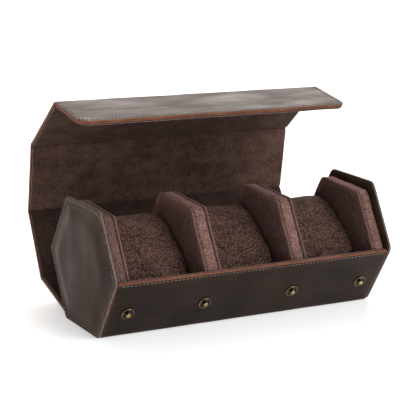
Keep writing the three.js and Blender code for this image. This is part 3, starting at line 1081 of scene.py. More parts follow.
        def step_places(
            step: tuple[float, float, Face], j: np.ndarray, i: np.ndarray
        ) -> np.ndarray:
            """Places (x, along, inside) of rows j and columns i at one step of the edge."""
            inset, share, _ = step
            x = columns[i] * (rows[j, 1] - inset * rows[j, 2])
            along = rows[j, 0] - inset * rows[j, 3]
            near = np.clip(self.line.from_fold(along) / self.fold_reach, 0, 1)
            pressed = 1 - layer.dip * (1 - near**2) ** 2
            inner = layer.inner * pressed
            outer = layer.outer * (pressed if layer.outer > 0 else 1)
            level = outer + (inner - outer) * share + self.uneven(layer, x, along)
            return np.stack([x, along, level], 1)

        grid_j, grid_i = (a.ravel() for a in np.indices((height, count)))
        loop_j, loop_i = np.array(loop).T
        levels = [step_places(layer.edge[k], grid_j, grid_i) for k in (0, -1)]
        levels += [step_places(step, loop_j, loop_i) for step in layer.edge[1:-1]]
        places = np.concatenate(levels)
        faces, kinds = self.skin_faces(layer, height, count, loop)
        points = self.line.at(places[:, 0], places[:, 1], places[:, 2])
        piece = make_object(f"{layer.name}_skin_{part.name}", points, faces)
        piece.data.polygons.foreach_set("material_index", kinds)
        return record_rest(piece, self.marked(places, layer))

    def uneven(self, layer: Layer, x: np.ndarray, along: np.ndarray) -> np.ndarray:
        """How much a layer's unevenness lifts its places, in metres."""
        return layer.swell.lift(np.stack([x, along, 0 * x], 1), self.swell_seed)

    @staticmethod
    def rim_loop(height: int, count: int) -> list[tuple[int, int]]:
        """The row and column of each vertex round the rim of a grid of so many rows and columns."""
        return [
            *((j, 0) for j in range(height)),
            *((height - 1, i) for i in range(1, count)),
            *((j, count - 1) for j in range(height - 2, -1, -1)),
            *((0, i) for i in range(count - 2, 0, -1)),
        ]

    @staticmethod
    def skin_faces(
        layer: Layer, height: int, count: int, loop: list[tuple[int, int]]
    ) -> tuple[list[tuple[int, ...]], list[int]]:
        """The faces of one closed piece of a layer: two grids, joined by rings round their rims.

        Args:
            layer: the layer.
            height: how many rows each grid has.
            count: how many columns each grid has.
            loop: the row and column of each vertex round a grid's rim.

        Returns:
            The faces, as vertex numbers, and each one's material number.
        """
        size = height * count
        rims = [[j * count + i for j, i in loop]]
        for k in range(len(layer.edge) - 2):
            first = 2 * size + k * len(loop)
            rims.append(list(range(first, first + len(loop))))
        rims.append([size + j * count + i for j, i in loop])
        faces, kinds = [], []
        for base, kind in ((0, Face.OUTER), (size, Face.INNER)):
            for j in range(height - 1):
                for i in range(count - 1):
                    a = base + j * count + i
                    faces.append((a, a + 1, a + count + 1, a + count))
                    kinds.append(kind.value)
        for k, (low, high) in enumerate(zip(rims, rims[1:])):
            for n in range(len(loop)):
                m = (n + 1) % len(loop)
                faces.append((low[n], low[m], high[m], high[n]))
                kinds.append(layer.edge[k + 1][2].value)
        return faces, kinds

    def marked(self, places: np.ndarray, layer: Layer) -> np.ndarray:
        """How marked a layer is: painted shade in the lining's folds and on whole panels, rubbed
        edges in the leather.

        Args:
            places: the x, the place along the strip and the height of each point.
            layer: the layer.

        Returns:
            One number for each point.
        """
        fold = self.line.from_fold(places[:, 1])
        if layer is self.lining:
            # painted shade along the lining's folds
            painted_crease_shade = self.crease_shade * np.exp(-((fold / self.crease_reach) ** 2))
            # painted shade on whole panels of the lining, darkest on the two back panels
            panel = np.searchsorted(self.line.marks[1:-1], places[:, 1])
            return np.maximum(painted_crease_shade, np.array(self.darkening)[panel])
        side = layer.half_width - np.abs(places[:, 0])
        ends = np.minimum(places[:, 1] - self.line.marks[0], self.line.marks[-1] - places[:, 1])
        near = np.minimum(np.minimum(side, ends), fold + self.fold_rub)
        return np.exp(-near / self.crease_reach)

    def attach(self, piece: bpy.types.Object, part: Stretch) -> None:
        """Makes a piece move with its stretch's body; a piece between two bodies only has its
        transform baked.
        """
        if len(part.bodies) == 1:
            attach(piece, part.bodies[0])
            return
        fold = self.line.marks[part.fold]
        start = self.line.point(fold - self.fold_reach)
        end = self.line.point(fold + self.fold_reach)
        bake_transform(piece)

    def stitch_course(self, part: Stretch) -> list[tuple[float, float, float]]:
        """Where a stretch's stitches are. The lid is sewn down both sides and round the flap, and
        the front panel along its top edge.

        Args:
            part: the stretch.

        Returns:
            Each stitch's x, place along the strip, and direction in that plane, in radians.
        """
        pitch, inset = self.stitch_pitch, self.stitch_inset
        side = self.leather.half_width - inset
        if part.open_start:
            return self.straight_course(side, part.start + self.front_stitch_inset)
        corner = self.flap_corner - inset if part.open_end else 0.0
        first, last = part.start, part.end - (inset + corner if part.open_end else 0)
        if part.fold == 2:
            first = self.line.marks[2] + self.fold_reach
        first = pitch * math.ceil(first / pitch)
        found = []
        for n in range(int((last - first) / pitch) + 1):
            found += [(sign * side, first + n * pitch, math.pi / 2) for sign in (-1, 1)]
        if not part.open_end:
            return found
        steps = round(corner * math.pi / 2 / pitch)
        for n in range(steps):
            angle = (n + 0.5) / steps * math.pi / 2
            for sign in (-1, 1):
                across = sign * (side - corner + corner * math.cos(angle))
                found.append((across, last + corner * math.sin(angle), math.pi / 2 + sign * angle))
        return found + self.straight_course(side - corner, last + corner)

    def straight_course(self, reach: float, along: float) -> list[tuple[float, float, float]]:
        """A row of stitches across the strip, centred on it.

        Args:
            reach: how far the row goes to each side.
            along: its place along the strip.

        Returns:
            What stitch_course gives for it.
        """
        count = int(2 * reach / self.stitch_pitch)
        return [((i - (count - 1) / 2) * self.stitch_pitch, along, 0.0) for i in range(count)]

    def stitches(self, part: Stretch, inside: bool) -> bpy.types.Object:
        """The thread of a stretch's stitches on one of its faces.

        Args:
            part: the stretch.
            inside: whether it shows on the lining rather than on the leather.

        Returns:
            The piece.
        """
        course = np.array(self.stitch_course(part))
        if inside:
            course = course[course[:, 1] > self.line.marks[part.fold] + self.fold_reach]
        up = 1 if inside else -1
        level = self.lining.inner if inside else self.leather.outer
        shape = capsule(self.stitch_length, self.thread_radius)
        count = len(shape.points)
        x, along, way = (np.repeat(course[:, k], count) for k in range(3))
        own = np.tile(shape.points, (len(course), 1))
        across = x + own[:, 0] * np.cos(way) - own[:, 1] * np.sin(way)
        forward = along + own[:, 0] * np.sin(way) + own[:, 1] * np.cos(way)
        height = level + up * own[:, 2] + self.uneven(self.leather, across, forward)
        places = self.line.at(across, forward, height)
        name = f"stitches_{'inner' if inside else 'outer'}_{part.name}"
        piece = make_object(name, places, shape.faces_of_copies(len(course)))
        return paint(record_rest(piece), Finish.THREAD)

    def sockets_at(self) -> list[tuple[float, float]]:
        """Each flap socket's x and place along the strip."""
        way = np.array((math.cos(self.line.angles[-1]), math.sin(self.line.angles[-1])))
        found = []
        for i in range(1, 5):
            middle = vertices_of(f"snap_socket_{i}").mean(0)
            past = (middle[1:] - self.line.points[-2]) @ way
            found.append((middle[0], self.line.marks[-2] + past))
        return found

    def drills(self) -> list[bpy.types.Object]:
        """Round cutters for the sockets' holes in the flap."""
        radius = self.socket_radius() + self.socket_room
        angles = np.linspace(0, 2 * math.pi, self.drill_steps, endpoint=False)
        ring_x, ring_along = radius * np.cos(angles), radius * np.sin(angles)
        made = []
        for x, along in self.sockets_at():
            rings = [
                self.line.at(x + ring_x, along + ring_along, np.full(len(angles), level))
                for level in (self.drill_floor, self.drill_top)
            ]
            made.append(lofted("drill", rings))
        return made

    @staticmethod
    def socket_radius() -> float:
        """The radius of a flap socket."""
        low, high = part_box("snap_socket_1")
        return (high.x - low.x) / 2

    @staticmethod
    def panels(part: Stretch) -> list[str]:
        """The panels whose frame nodes a stretch stands for."""
        return ["front", "base"] if part.open_start else [part.name]

    def leather_nodes(self, part: Stretch) -> list[str]:
        """The frame nodes that a stretch's leather stands for: leathers, boards and bends."""
        panels = self.panels(part)
        if part.open_start:
            folds = ["fold_front", "fold_back_low"]
        else:
            folds = [] if part.name == "back_low" else ["fold_" + part.name]
        return ["leather_" + n for n in panels] + ["board_" + n for n in panels] + folds

    def build(self) -> None:
        """Builds and dresses every piece of the strip, and attaches those of a stretch on one body.
        """
        for part in self.stretches():
            leather = self.sheet(part, self.leather)
            lining = self.sheet(part, self.lining)
            if part.open_end:
                bored(leather, self.drills())
                bored(lining, self.drills())
            paint(leather, Finish.OUTER, Finish.EDGE, Finish.SEAM, Finish.SEAM)
            paint(lining, Finish.LINING, Finish.FRAY, Finish.LINING, Finish.LINING)
            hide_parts(*self.leather_nodes(part))
            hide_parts(*("lining_" + name for name in self.panels(part)))
            threads = [self.stitches(part, inside=False)]
            if part.open_end:
                threads.append(self.stitches(part, inside=True))
            for piece in (leather, lining, *threads):
                self.attach(piece, part)
            LOG.info("wrap %s: %d pieces", part.name, 2 + len(threads))


@dataclass(frozen=True)
class Solid:
    """A closed shape as points and faces."""

    points: np.ndarray
    faces: list[tuple[int, ...]]

    def faces_of_copies(self, copies: int) -> list[tuple[int, ...]]:
        """The faces of so many copies of the shape, whose points follow each other."""
        size = len(self.points)
        return [tuple(v + k * size for v in face) for k in range(copies) for face in self.faces]


def capsule(length: float, radius: float, sunk: float = 0.0) -> Solid:
    """A stitch: a plump thread along X whose ends dive below Z 0.

    Args:
        length: from end to end.
        radius: of the thread at its middle.
        sunk: how much lower than that it lies.

    Returns:
        Its shape.
    """
    sides = 6
    dive = ((0.5, 0.45, -0.9), (0.36, 0.85, 0.1))  # place, thickness and lift towards an end
    stations = [(-x, fat, lift) for x, fat, lift in dive] + [(0.0, 1.0, 0.35), *reversed(dive)]
    points, faces = [], []
    for x, fat, lift in stations:
        for k in range(sides):
            angle = 2 * math.pi * k / sides
            height = radius * (lift + fat * math.sin(angle)) - sunk
            points.append((x * length, fat * radius * math.cos(angle), height))
    last = (len(stations) - 1) * sides
    for start in range(0, last, sides):
        faces += band_faces(start, start + sides, sides)
    faces += [tuple(range(sides)), tuple(range(last, last + sides))]
    return Solid(np.array(points), faces)


@dataclass(frozen=True)
class Seam:
    """A closed loop that is sewn through.

    Args:
        ring: the loop's points, each once.
    """

    ring: np.ndarray

    def marks(self) -> np.ndarray:
        """How far round the loop each point is, and then its whole length."""
        steps = np.linalg.norm(np.roll(self.ring, -1, 0) - self.ring, axis=1)
        return np.concatenate([[0], np.cumsum(steps)])

    def at(self, spots: np.ndarray) -> np.ndarray:
        """The points that are so far round the loop."""
        marks = self.marks()
        loop = np.vstack([self.ring, self.ring[:1]])
        return np.column_stack([np.interp(spots % marks[-1], marks, loop[:, k]) for k in range(3)])

    def sewn(
        self,
        name: str,
        stitch: Solid,
        spots: np.ndarray,
        up_at: Callable[[np.ndarray, np.ndarray], np.ndarray],
        slant: float = 0.0,
    ) -> bpy.types.Object:
        """Makes the stitches.

        Args:
            name: the piece's name.
            stitch: the shape of each.
            spots: how far round the loop each one's middle is.
            up_at: gives the way out of the material, for a stitch's point and direction.
            slant: how far each is turned from the loop's direction, in radians.

        Returns:
            The piece.
        """
        at = self.at(spots)
        forward = self.at(spots + LOOK_AHEAD) - at
        forward /= np.linalg.norm(forward, axis=1)[:, None]
        points = []
        for spot, ahead in zip(at, forward):
            up = up_at(spot, ahead)
            way = ahead * math.cos(slant) + np.cross(up, ahead) * math.sin(slant)
            points.append(spot + stitch.points @ np.stack([way, np.cross(up, way), up]))
        return make_object(name, np.concatenate(points), stitch.faces_of_copies(len(spots)))


# ---- Hexagonal pieces ----------------------------------------------------------------------


@dataclass(frozen=True)
class Hexagon:
    """A hexagon across X, flat side down, with round corners.

    Args:
        side: its side before the corners are rounded.
        corner: the corners' radius.
        middle: its middle's y and z.
    """

    side: float
    corner: float
    middle: tuple[float, float]
    least_corner: float = 0.3 * MM  # however far inside the outline
    softness: float = 2.2 * MM  # how gently the inset turns at a corner
    side_steps: int = 22
    corner_steps: int = 6

    @property
    def apothem(self) -> float:
        """From its middle to the middle of a side."""
        return self.side * SIN60

    def ring(self, x: float, inset: float = 0.0) -> np.ndarray:
        """Its outline as points.

        Args:
            x: where it is along the roll.
            inset: how far inside the outline, which makes the corners sharper.

        Returns:
            An array of points, as many for every inset.
        """
        side = self.side - inset / SIN60
        corner = min(max(self.corner - inset, self.least_corner), 0.98 * side * SIN60)
        reach = side - corner / SIN60
        points = []
        for k in range(6):
            here, there = math.pi / 3 * k, math.pi / 3 * (k + 1)
            hub = np.array((math.cos(here), math.sin(here))) * reach
            for a in np.linspace(here - math.pi / 6, here + math.pi / 6, self.corner_steps + 1):
                points.append(hub + corner * np.array((math.cos(a), math.sin(a))))
            flat = here + math.pi / 6
            way = corner * np.array((math.cos(flat), math.sin(flat)))
            next_hub = np.array((math.cos(there), math.sin(there))) * reach
            for t in np.linspace(0, 1, self.side_steps + 1)[1:-1]:
                points.append(hub * (1 - t) + next_hub * t + way)
        flat_points = np.array(points) + np.array(self.middle)
        return np.column_stack([np.full(len(flat_points), x), flat_points])

    def lathed(self, name: str, profile: Sequence[tuple[float, float]]) -> bpy.types.Object:
        """A closed piece from a profile of (inset, x) that runs from the middle out and back.

        Args:
            name: the piece's name.
            profile: its steps; an inset near the apothem closes on the middle.

        Returns:
            The object.
        """
        furthest = 0.97 * self.apothem
        return lofted(name, [self.ring(x, min(inset, furthest)) for inset, x in profile])

    def inset_of(self, points: np.ndarray) -> np.ndarray:
        """How far inside the outline each point is, with the corners kept round."""
        y, z = points[:, 1] - self.middle[0], points[:, 2] - self.middle[1]
        angles = np.arange(6) * math.pi / 3 + math.pi / 6
        away = y[:, None] * np.cos(angles) + z[:, None] * np.sin(angles)
        top = away.max(1)
        spill = np.exp((away - top[:, None]) / self.softness).sum(1)
        return self.apothem - (top + self.softness * np.log(spill))

    def upper(self, points: np.ndarray, reach: float = 1.0) -> np.ndarray:
        """How far up each point is: 0 from the middle down, 1 from that share of the apothem up."""
        return np.clip((points[:, 2] - self.middle[1]) / (reach * self.apothem), 0, 1)


def outline_of(node: str, corner: float) -> Hexagon:
    """The hexagon that a frame node fills, seen along X.

    Args:
        node: the node.
        corner: its corners' radius.

    Returns:
        The hexagon.
    """
    low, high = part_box(node)
    apothem = (high.z - low.z) / 2
    return Hexagon(apothem / SIN60, corner, ((low.y + high.y) / 2, (low.z + high.z) / 2))


@dataclass
class EndCap:
    """A sewn leather end cap with a padded middle.

    Args:
        side: which end it closes.
    """

    side: Side
    left_corner: float = 3.6 * MM
    right_corner: float = 7.0 * MM  # more worn
    sag: float = 2.2 * MM  # how far the left cap's top edge has sunk
    stitch_inset: float = 2.7 * MM
    stitch_pitch: float = 3.0 * MM
    stitch_length: float = 2.5 * MM
    stitch_slant: float = 0.38  # in radians
    stitch_sunk: float = 0.15 * MM
    thread_radius: float = 0.27 * MM
    border: float = 3.4 * MM  # from its edge to where the padding starts
    shoulder: float = 13 * MM  # how far in from there the padding rises steeply
    shoulder_share: float = 0.86  # how much of the rise is in the shoulder
    groove_depth: float = 0.4 * MM  # of the stitched line
    groove_width: float = 0.75 * MM
    settling: Unevenness = Unevenness(0.22 * MM, 34 * MM)
    rim_wear: float = 0.75
    wear_reach: float = 1.5 * MM
    inner: float = field(init=False)  # the plane of its inside
    rim: float = field(init=False)  # the plane of its face at the border
    rise: float = field(init=False)  # how far its padded middle stands past that
    shape: Hexagon = field(init=False)

    def __post_init__(self) -> None:
        """Takes the cap's sizes from the frame."""
        node = f"cap_leather_{self.side.value}"
        low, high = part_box(node)
        left = self.side is Side.LEFT
        crown, self.inner = (low.x, high.x) if left else (high.x, low.x)
        self.rim = self.inner + self.side.sign * self.thickness(node)
        self.rise = abs(crown - self.rim)
        self.shape = outline_of(node, self.left_corner if left else self.right_corner)

    def build(self) -> None:
        """Builds, dresses and attaches the cap and its stitches."""
        end = self.side.value
        cap = self.shape.lathed(f"cap_skin_{end}", self.profile())
        self.shape_face(cap)
        self.mark(cap)
        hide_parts(f"cap_leather_{end}", f"cap_padding_{end}")
        thread = self.stitches()
        for piece in (cap, thread):
            if self.side is Side.LEFT:
                self.sink_top(piece)
            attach(piece, "trough")
        LOG.info("cap %s", end)

    def sink_top(self, piece: bpy.types.Object) -> None:
        """Lowers the piece's top edge, and nothing below its middle."""
        points = points_of(piece)
        points[:, 2] -= self.sag * self.shape.upper(points) ** 2
        move_points(piece, points)

    @staticmethod
    def thickness(node: str) -> float:
        """The cap leather's thickness at its rim, between its two faces there."""
        points = np.abs(vertices_of(node))
        at_rim = points[points[:, 1] > points[:, 1].max() - 0.1 * MM, 0]
        return float(at_rim.max() - at_rim.min())

    def profile(self) -> list[tuple[float, float]]:
        """The cap's section from the middle of its face out to the rim and back inside."""
        out, apothem = self.side.sign, self.shape.apothem
        face = (40, 36, 32, 28, 24, 21, 18.5, 16, 14, 12, 10.5, 9, 8, 7, 6, 5)
        face += (4.3, 3.8, 3.5, 3.1, 2.7, 2.4, 1.9, 1.2)  # insets, in millimetres
        edge = ((0.7, 0.04), (0.3, 0.18), (0.05, 0.5), (0.0, 0.8))  # inset, and fall from the rim
        back = ((0.0, 0.5), (0.1, 0.2), (0.4, 0), (3, 0), (9, 0), (24, 0))  # and rise from inside
        steps = [(apothem, self.rim)] + [(inset * MM, self.rim) for inset in face]
        steps += [(inset * MM, self.rim - out * fall * MM) for inset, fall in edge]
        steps += [(inset * MM, self.inner + out * rise * MM) for inset, rise in back]
        return [*steps, (apothem, self.inner)]

    def shape_face(self, cap: bpy.types.Object) -> None:
        """Raises the padded middle, presses in the stitched line, and lets the leather settle."""
        points = points_of(cap)
        sign = self.side.sign
        inset = self.shape.inset_of(points)
        t = np.clip((inset - self.border) / self.shoulder, 0, 1)
        crown = (1 - self.shoulder_share) * np.clip(inset / self.shape.apothem, 0, 1)
        dome = self.rise * (self.shoulder_share * t * t * (3 - 2 * t) + crown)
        from_line = (inset - self.stitch_inset) / self.groove_width
        groove = self.groove_depth * np.exp(-(from_line**2))
        settle = self.settling.lift(points, 11 + sign) * t
        outside = np.abs(points[:, 0]) > abs(self.rim) - 0.05 * MM
        points[:, 0] += np.where(outside, sign * (dome - groove + settle), 0)
        move_points(cap, points)

    def mark(self, cap: bpy.types.Object) -> None:
        """Paints the cap: worn at its rim and corners, with a bare cut edge."""
        inset = np.clip(self.shape.inset_of(points_of(cap)), 0, None)
        record_rest(cap, self.rim_wear * np.exp(-inset / self.wear_reach))
        paint(cap, Finish.CAP, Finish.RIM)
        kinds = [
            int(abs(face.normal.x) < 0.55 and abs(face.center.x) <= abs(self.rim))
            for face in cap.data.polygons
        ]
        cap.data.polygons.foreach_set("material_index", kinds)

    def stitches(self) -> bpy.types.Object:
        """The slanted stitches round the cap's border."""
        seam = Seam(self.shape.ring(self.rim, self.stitch_inset))
        total = seam.marks()[-1]
        count = round(total / self.stitch_pitch)
        spots = (np.arange(count) + 0.5) * total / count
        stitch = capsule(self.stitch_length, self.thread_radius, self.stitch_sunk)
        out = np.array((float(self.side.sign), 0.0, 0.0))
        name = f"cap_stitches_{self.side.value}"
        piece = seam.sewn(name, stitch, spots, lambda at, ahead: out, self.stitch_slant)
        return paint(record_rest(piece), Finish.THREAD)


@dataclass
class HexPad:
    """A divider or end pad: suede over foam, with a perimeter band between piped seams.

    Args:
        name: what its pieces are called.
        nodes: the frame's nodes that it stands for.
        seed: which uneven swell it has.
        piped: the x of each face that has a piped seam.
        span: its lowest and highest x.
        band_darkened: how far its band is darkened.
    """

    name: str
    nodes: tuple[str, ...]
    seed: int
    piped: tuple[float, ...]
    span: tuple[float, float]
    band_darkened: float = 0.0
    corner: float = 5.0 * MM
    ridge: float = 1.7 * MM  # how wide each felled ridge is
    groove: float = 2.15 * MM  # from the piped face's plane to the groove beside the ridge
    groove_width: float = 0.45 * MM
    groove_depth: float = 0.4 * MM
    darkening: float = 0.48  # how far the faces are darkened
    thread_radius: float = 0.2 * MM
    sewing_pitch: float = 2.6 * MM
    sewing_length: float = 2.0 * MM
    lean: float = 0.044  # how much the top falls from back to front
    most_lean: float = 1.1 * MM
    plump: float = 0.75 * MM  # how far a face's middle stands past its edge
    plump_reach: float = 15 * MM  # how far in from the outline the face rises
    seam_fall: float = 0.15 * MM  # how far a piped face lies inside its plane
    held: float = 2.5 * MM  # how far in from the outline its seam holds the suede
    free: float = 7 * MM  # how far in from there the suede gets free
    band: float = 3 * MM  # how far in from the outline a point still counts as on the band
    band_swell: Unevenness = Unevenness(0.14 * MM, 9 * MM)
    face_swell: Unevenness = Unevenness(0.25 * MM, 17 * MM)
    ridge_swell: Unevenness = Unevenness(0.1 * MM, 6 * MM)
    # painted shade in the groove beside each ridge
    groove_shade: float = 0.3
    # painted shade beside the seams
    seam_shade: float = 0.6
    seam_inset: float = 2.2 * MM  # from the outline to where a ridge meets the face
    seam_width: float = 1.0 * MM
    filling: Filling = Filling(voxel=2.4 * MM, pressure=5.0, reach=0.55 * MM)

    @property
    def middle(self) -> float:
        """The x of the pad's middle."""
        return sum(self.span) / 2

    @property
    def half(self) -> float:
        """Half the pad's thickness."""
        return (self.span[1] - self.span[0]) / 2

    def build(self) -> None:
        """Builds, dresses and attaches the pad and its piping."""
        shape = outline_of(self.nodes[0], self.corner)
        body = self.body(shape)
        self.filling.swell(
            body, lambda at: np.clip((shape.inset_of(at) - self.held) / self.free, 0, 1)
        )
        self.settle(body, shape)
        paint(body, Finish.PAD)
        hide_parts(*self.nodes)
        pieces = [body]
        for number, x in enumerate(self.piped, 1):
            pieces += [self.pipe(shape, x, number), self.sewing(shape, x, number)]
        for piece in pieces:
            self.lean_top(piece, shape)
            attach(piece, "trough")
        LOG.info("%s: %d pieces", self.name, len(pieces))

    def lean_top(self, piece: bpy.types.Object, shape: Hexagon) -> None:
        """Leans the free upper half a little: higher at the back, lower at the front."""
        points = points_of(piece)
        share = shape.upper(points, reach=0.8)
        lift = self.lean * (points[:, 1] - shape.middle[0])
        lift = np.clip(lift, -self.most_lean, self.most_lean)
        points[:, 2] += share * share * (3 - 2 * share) * lift
        move_points(piece, points)

    def face_steps(self, crowned: bool, apothem: float) -> list[tuple[float, float]]:
        """One face's half of the stuffed form's section, from its middle out to the band.

        Args:
            crowned: whether the face is crowned within a seam, or flat where it is glued.
            apothem: of the pad.

        Returns:
            Each step's inset and how far it is from the pad's middle plane.
        """
        half, steps = self.half, []
        for inset in [apothem] + [v * MM for v in (36, 30, 24, 18, 13, 9, 6, 4, 2.6)]:
            t = np.clip(inset / self.plump_reach, 0, 1)
            fall = self.plump * (1 - t * (2 - t)) + self.seam_fall if crowned else 0.0
            steps.append((inset, half - fall))
        crowned_edge = ((1.6, 1.1), (0.9, 1.5), (0.45, 1.9))  # inset and fall, in millimetres
        flat_edge = ((0.4, 0.1), (0.15, 0.5))
        for inset, fall in crowned_edge if crowned else flat_edge:
            steps.append((inset * MM, half - fall * MM))
        return [*steps, (0.12 * MM, half * 0.55), (0.05 * MM, half * 0.25)]

    def body(self, shape: Hexagon) -> bpy.types.Object:
        """The stuffed form: crowned within its seams, and flat where it is glued to a cap."""
        low, high = (self.face_steps(x in self.piped, shape.apothem) for x in self.span)
        left = [(inset, self.middle - x) for inset, x in low]
        right = [(inset, self.middle + x) for inset, x in reversed(high)]
        return shape.lathed(self.name + "_pad", left + right)

    def settle(self, body: bpy.types.Object, shape: Hexagon) -> None:
        """Lets the suede lie unevenly over the foam, with painted shade in its grooves and seams.
        """
        points = points_of(body)
        inset = shape.inset_of(points)
        on_band = inset <= self.band
        out = np.sign((points[:, 0] - self.middle) / self.half)
        points[:, 0] += self.face_swell.lift(points, self.seed) * out * ~on_band
        spread = points[:, 1:] - np.array(shape.middle)
        lift = self.band_swell.lift(points, self.seed + 1) * on_band
        face = np.clip((inset - self.held) / self.band, 0, 1)
        # darkens the faces, and the band by its own share
        wear = self.darkening * face + self.band_darkened * (1 - face)
        for x in self.piped:
            from_groove = np.abs(points[:, 0] - x) - self.groove
            pressed = np.exp(-((from_groove / self.groove_width) ** 2)) * on_band
            lift -= self.groove_depth * pressed
            # painted shade in the groove
            wear = np.maximum(wear, self.groove_shade * pressed)
            # painted shade where the ridge meets the face
            beside = np.hypot(points[:, 0] - x, inset - self.seam_inset) / self.seam_width
            wear = np.maximum(wear, self.seam_shade * np.exp(-(beside**2)))
        points[:, 1:] += spread / np.linalg.norm(spread, axis=1)[:, None] * lift[:, None]
        move_points(body, points)
        record_rest(body, 0.9 * wear)

    def inward(self, x: float) -> int:
        """1 or -1: which way along X the pad's middle is from a face."""
        return 1 if x < self.middle else -1

    def pipe(self, shape: Hexagon, x: float, number: int) -> bpy.types.Object:
        """The felled ridge of suede along one seam."""
        wide = self.inward(x) * self.ridge
        section = ((0.12, 3.6), (0.02, 1.3), (0.06, 0.5), (0.25, 0.1), (0.5, 0.0))
        section += ((0.75, 0.08), (0.95, 0.45), (1.0, 1.1), (0.9, 3.6), (0.5, 4.0))
        rings = []
        for share, drop in section:  # of its width, and in millimetres
            ring = shape.ring(x + share * wide, drop * MM)
            ring[:, 1:] += self.ridge_swell.lift(ring, self.seed + 2)[:, None]
            rings.append(ring)
        piece = lofted(f"{self.name}_piping_{number}", rings, tips=False)
        return paint(record_rest(piece), Finish.PIPING)

    def sewing(self, shape: Hexagon, x: float, number: int) -> bpy.types.Object:
        """The dark thread in the groove beside one ridge."""

        def outward(at: np.ndarray, ahead: np.ndarray) -> np.ndarray:
            """The way out of the band at a stitch."""
            up = np.cross(ahead, (1.0, 0.0, 0.0))
            return -up if up[1:] @ (at[1:] - np.array(shape.middle)) < 0 else up

        seam = Seam(shape.ring(x + self.inward(x) * self.groove, self.groove_depth))
        spots = np.arange(round(seam.marks()[-1] / self.sewing_pitch)) * self.sewing_pitch
        stitch = capsule(self.sewing_length, self.thread_radius)
        piece = seam.sewn(f"{self.name}_sewing_{number}", stitch, spots, outward)
        return paint(record_rest(piece), Finish.SEWING)


@dataclass
class Pillow:
    """A loose pillow: a fat oval roll of suede with sewn ends.

    Args:
        number: which bay it is in, from the left.
    """

    number: int
    around: int = 88  # how many points are round its oval
    power: float = 3.0  # how square the oval is, 2 being an ellipse
    end_round: float = 5.0 * MM
    shrink: float = 0.4 * MM  # how much smaller it is before it is stuffed
    end_fall: float = 0.3 * MM  # how far an end's edge lies inside its middle
    held: float = 5 * MM  # how far from an end the suede is free
    tuck: float = 0.5 * MM  # how far its sides are drawn in
    tuck_reach: float = 8 * MM  # how far from an end that takes
    dents: Unevenness = Unevenness(0.55 * MM, 36 * MM)
    ripples: Unevenness = Unevenness(0.25 * MM, 15 * MM)
    seam_inset: float = 2.4 * MM  # from each end to its seam
    seam_width: float = 1.3 * MM
    seam_shade: float = 0.6
    filling: Filling = Filling(voxel=4.0 * MM, pressure=4.0, reach=0.8 * MM)
    up: np.ndarray = field(init=False)  # the way that it lifts out, in y and z
    forward: np.ndarray = field(init=False)  # square to that
    middle: np.ndarray = field(init=False)
    x: float = field(init=False)
    half: float = field(init=False)  # half its length along X
    long: float = field(init=False)  # half its size along forward
    deep: float = field(init=False)  # half its size along up

    def __post_init__(self) -> None:
        """Takes the pillow's sizes from the frame."""
        node = f"pillow_cover_{self.number}"
        joint = next(j for j in frame["joints"] if j["name"] == f"lift_pillow_{self.number}")
        up = np.array(joint["axis"][1:])
        self.up = up / np.linalg.norm(up)
        self.forward = np.array((self.up[1], -self.up[0]))
        low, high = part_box(node)
        self.middle = np.array(((low.y + high.y) / 2, (low.z + high.z) / 2))
        self.half = (high.x - low.x) / 2
        self.x = (low.x + high.x) / 2
        flat = vertices_of(node)[:, 1:] - self.middle
        self.long = float((flat @ self.forward).max())
        self.deep = float((flat @ self.up).max())

    def build(self) -> None:
        """Builds, dresses and attaches the pillow."""
        piece = self.form()
        self.filling.swell(piece, lambda at: np.clip(self.from_end(at) / self.held, 0, 1))
        self.settle(piece)
        paint(piece, Finish.PILLOW)
        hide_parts(f"pillow_cover_{self.number}", f"pillow_core_{self.number}")
        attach(piece, f"pillow_{self.number}")
        LOG.info("pillow %d", self.number)

    def from_end(self, points: np.ndarray) -> np.ndarray:
        """How far each point is from the nearer end."""
        return self.half - np.abs(points[:, 0] - self.x)

    def ring(self, x: float, inset: float) -> np.ndarray:
        """The pillow's oval at one place along the roll, so far inside its outline."""
        angles = np.linspace(0, 2 * math.pi, self.around, endpoint=False)
        c, s = np.cos(angles), np.sin(angles)
        power = 2 / self.power
        along = np.sign(c) * (self.long - inset) * np.abs(c) ** power
        out = np.sign(s) * (self.deep - inset) * np.abs(s) ** power
        flat = self.middle + along[:, None] * self.forward + out[:, None] * self.up
        return np.column_stack([np.full(len(flat), x), flat])

    def form(self) -> bpy.types.Object:
        """The stuffed form: an oval roll with rounded, slightly crowned ends."""
        half, round_ = self.half - self.shrink, self.end_round
        face = (26, 22, 17, 12, 8)  # insets, in millimetres
        steps = [(inset * MM, half - 0.02 * (face[0] - inset) * MM) for inset in face]
        for a in np.linspace(0, math.pi / 2, 7):
            x = half - round_ * (1 - math.cos(a)) - self.end_fall
            steps.append((round_ * (1 - math.sin(a)), x))
        steps += [(0.0, share * (half - round_)) for share in (0.8, 0.6, 0.4, 0.2)]
        left = [self.ring(self.x - x, inset + self.shrink) for inset, x in steps]
        right = [self.ring(self.x + x, inset + self.shrink) for inset, x in reversed(steps)]
        rings = [*left, self.ring(self.x, self.shrink), *right]
        return lofted(f"pillow_{self.number}_pad", rings)

    def settle(self, piece: bpy.types.Object) -> None:
        """Lets the suede lie in soft dents, with painted shade along the seams by its ends."""
        points = points_of(piece)
        flat = points[:, 1:] - self.middle
        out = flat / np.linalg.norm(flat, axis=1)[:, None]
        end = self.from_end(points)
        free = np.clip(end / self.tuck_reach, 0, 1)
        swell = self.dents.lift(points, self.number) + self.ripples.lift(points, 9 + self.number)
        points[:, 1:] += out * ((swell - self.tuck) * free)[:, None]
        move_points(piece, points)
        # painted shade along the seams near the ends, where the pillow meets the dividers
        from_seam = (end - self.seam_inset) / self.seam_width
        record_rest(piece, self.seam_shade * np.exp(-(from_seam**2)))


# ---- Press studs ---------------------------------------------------------------------------


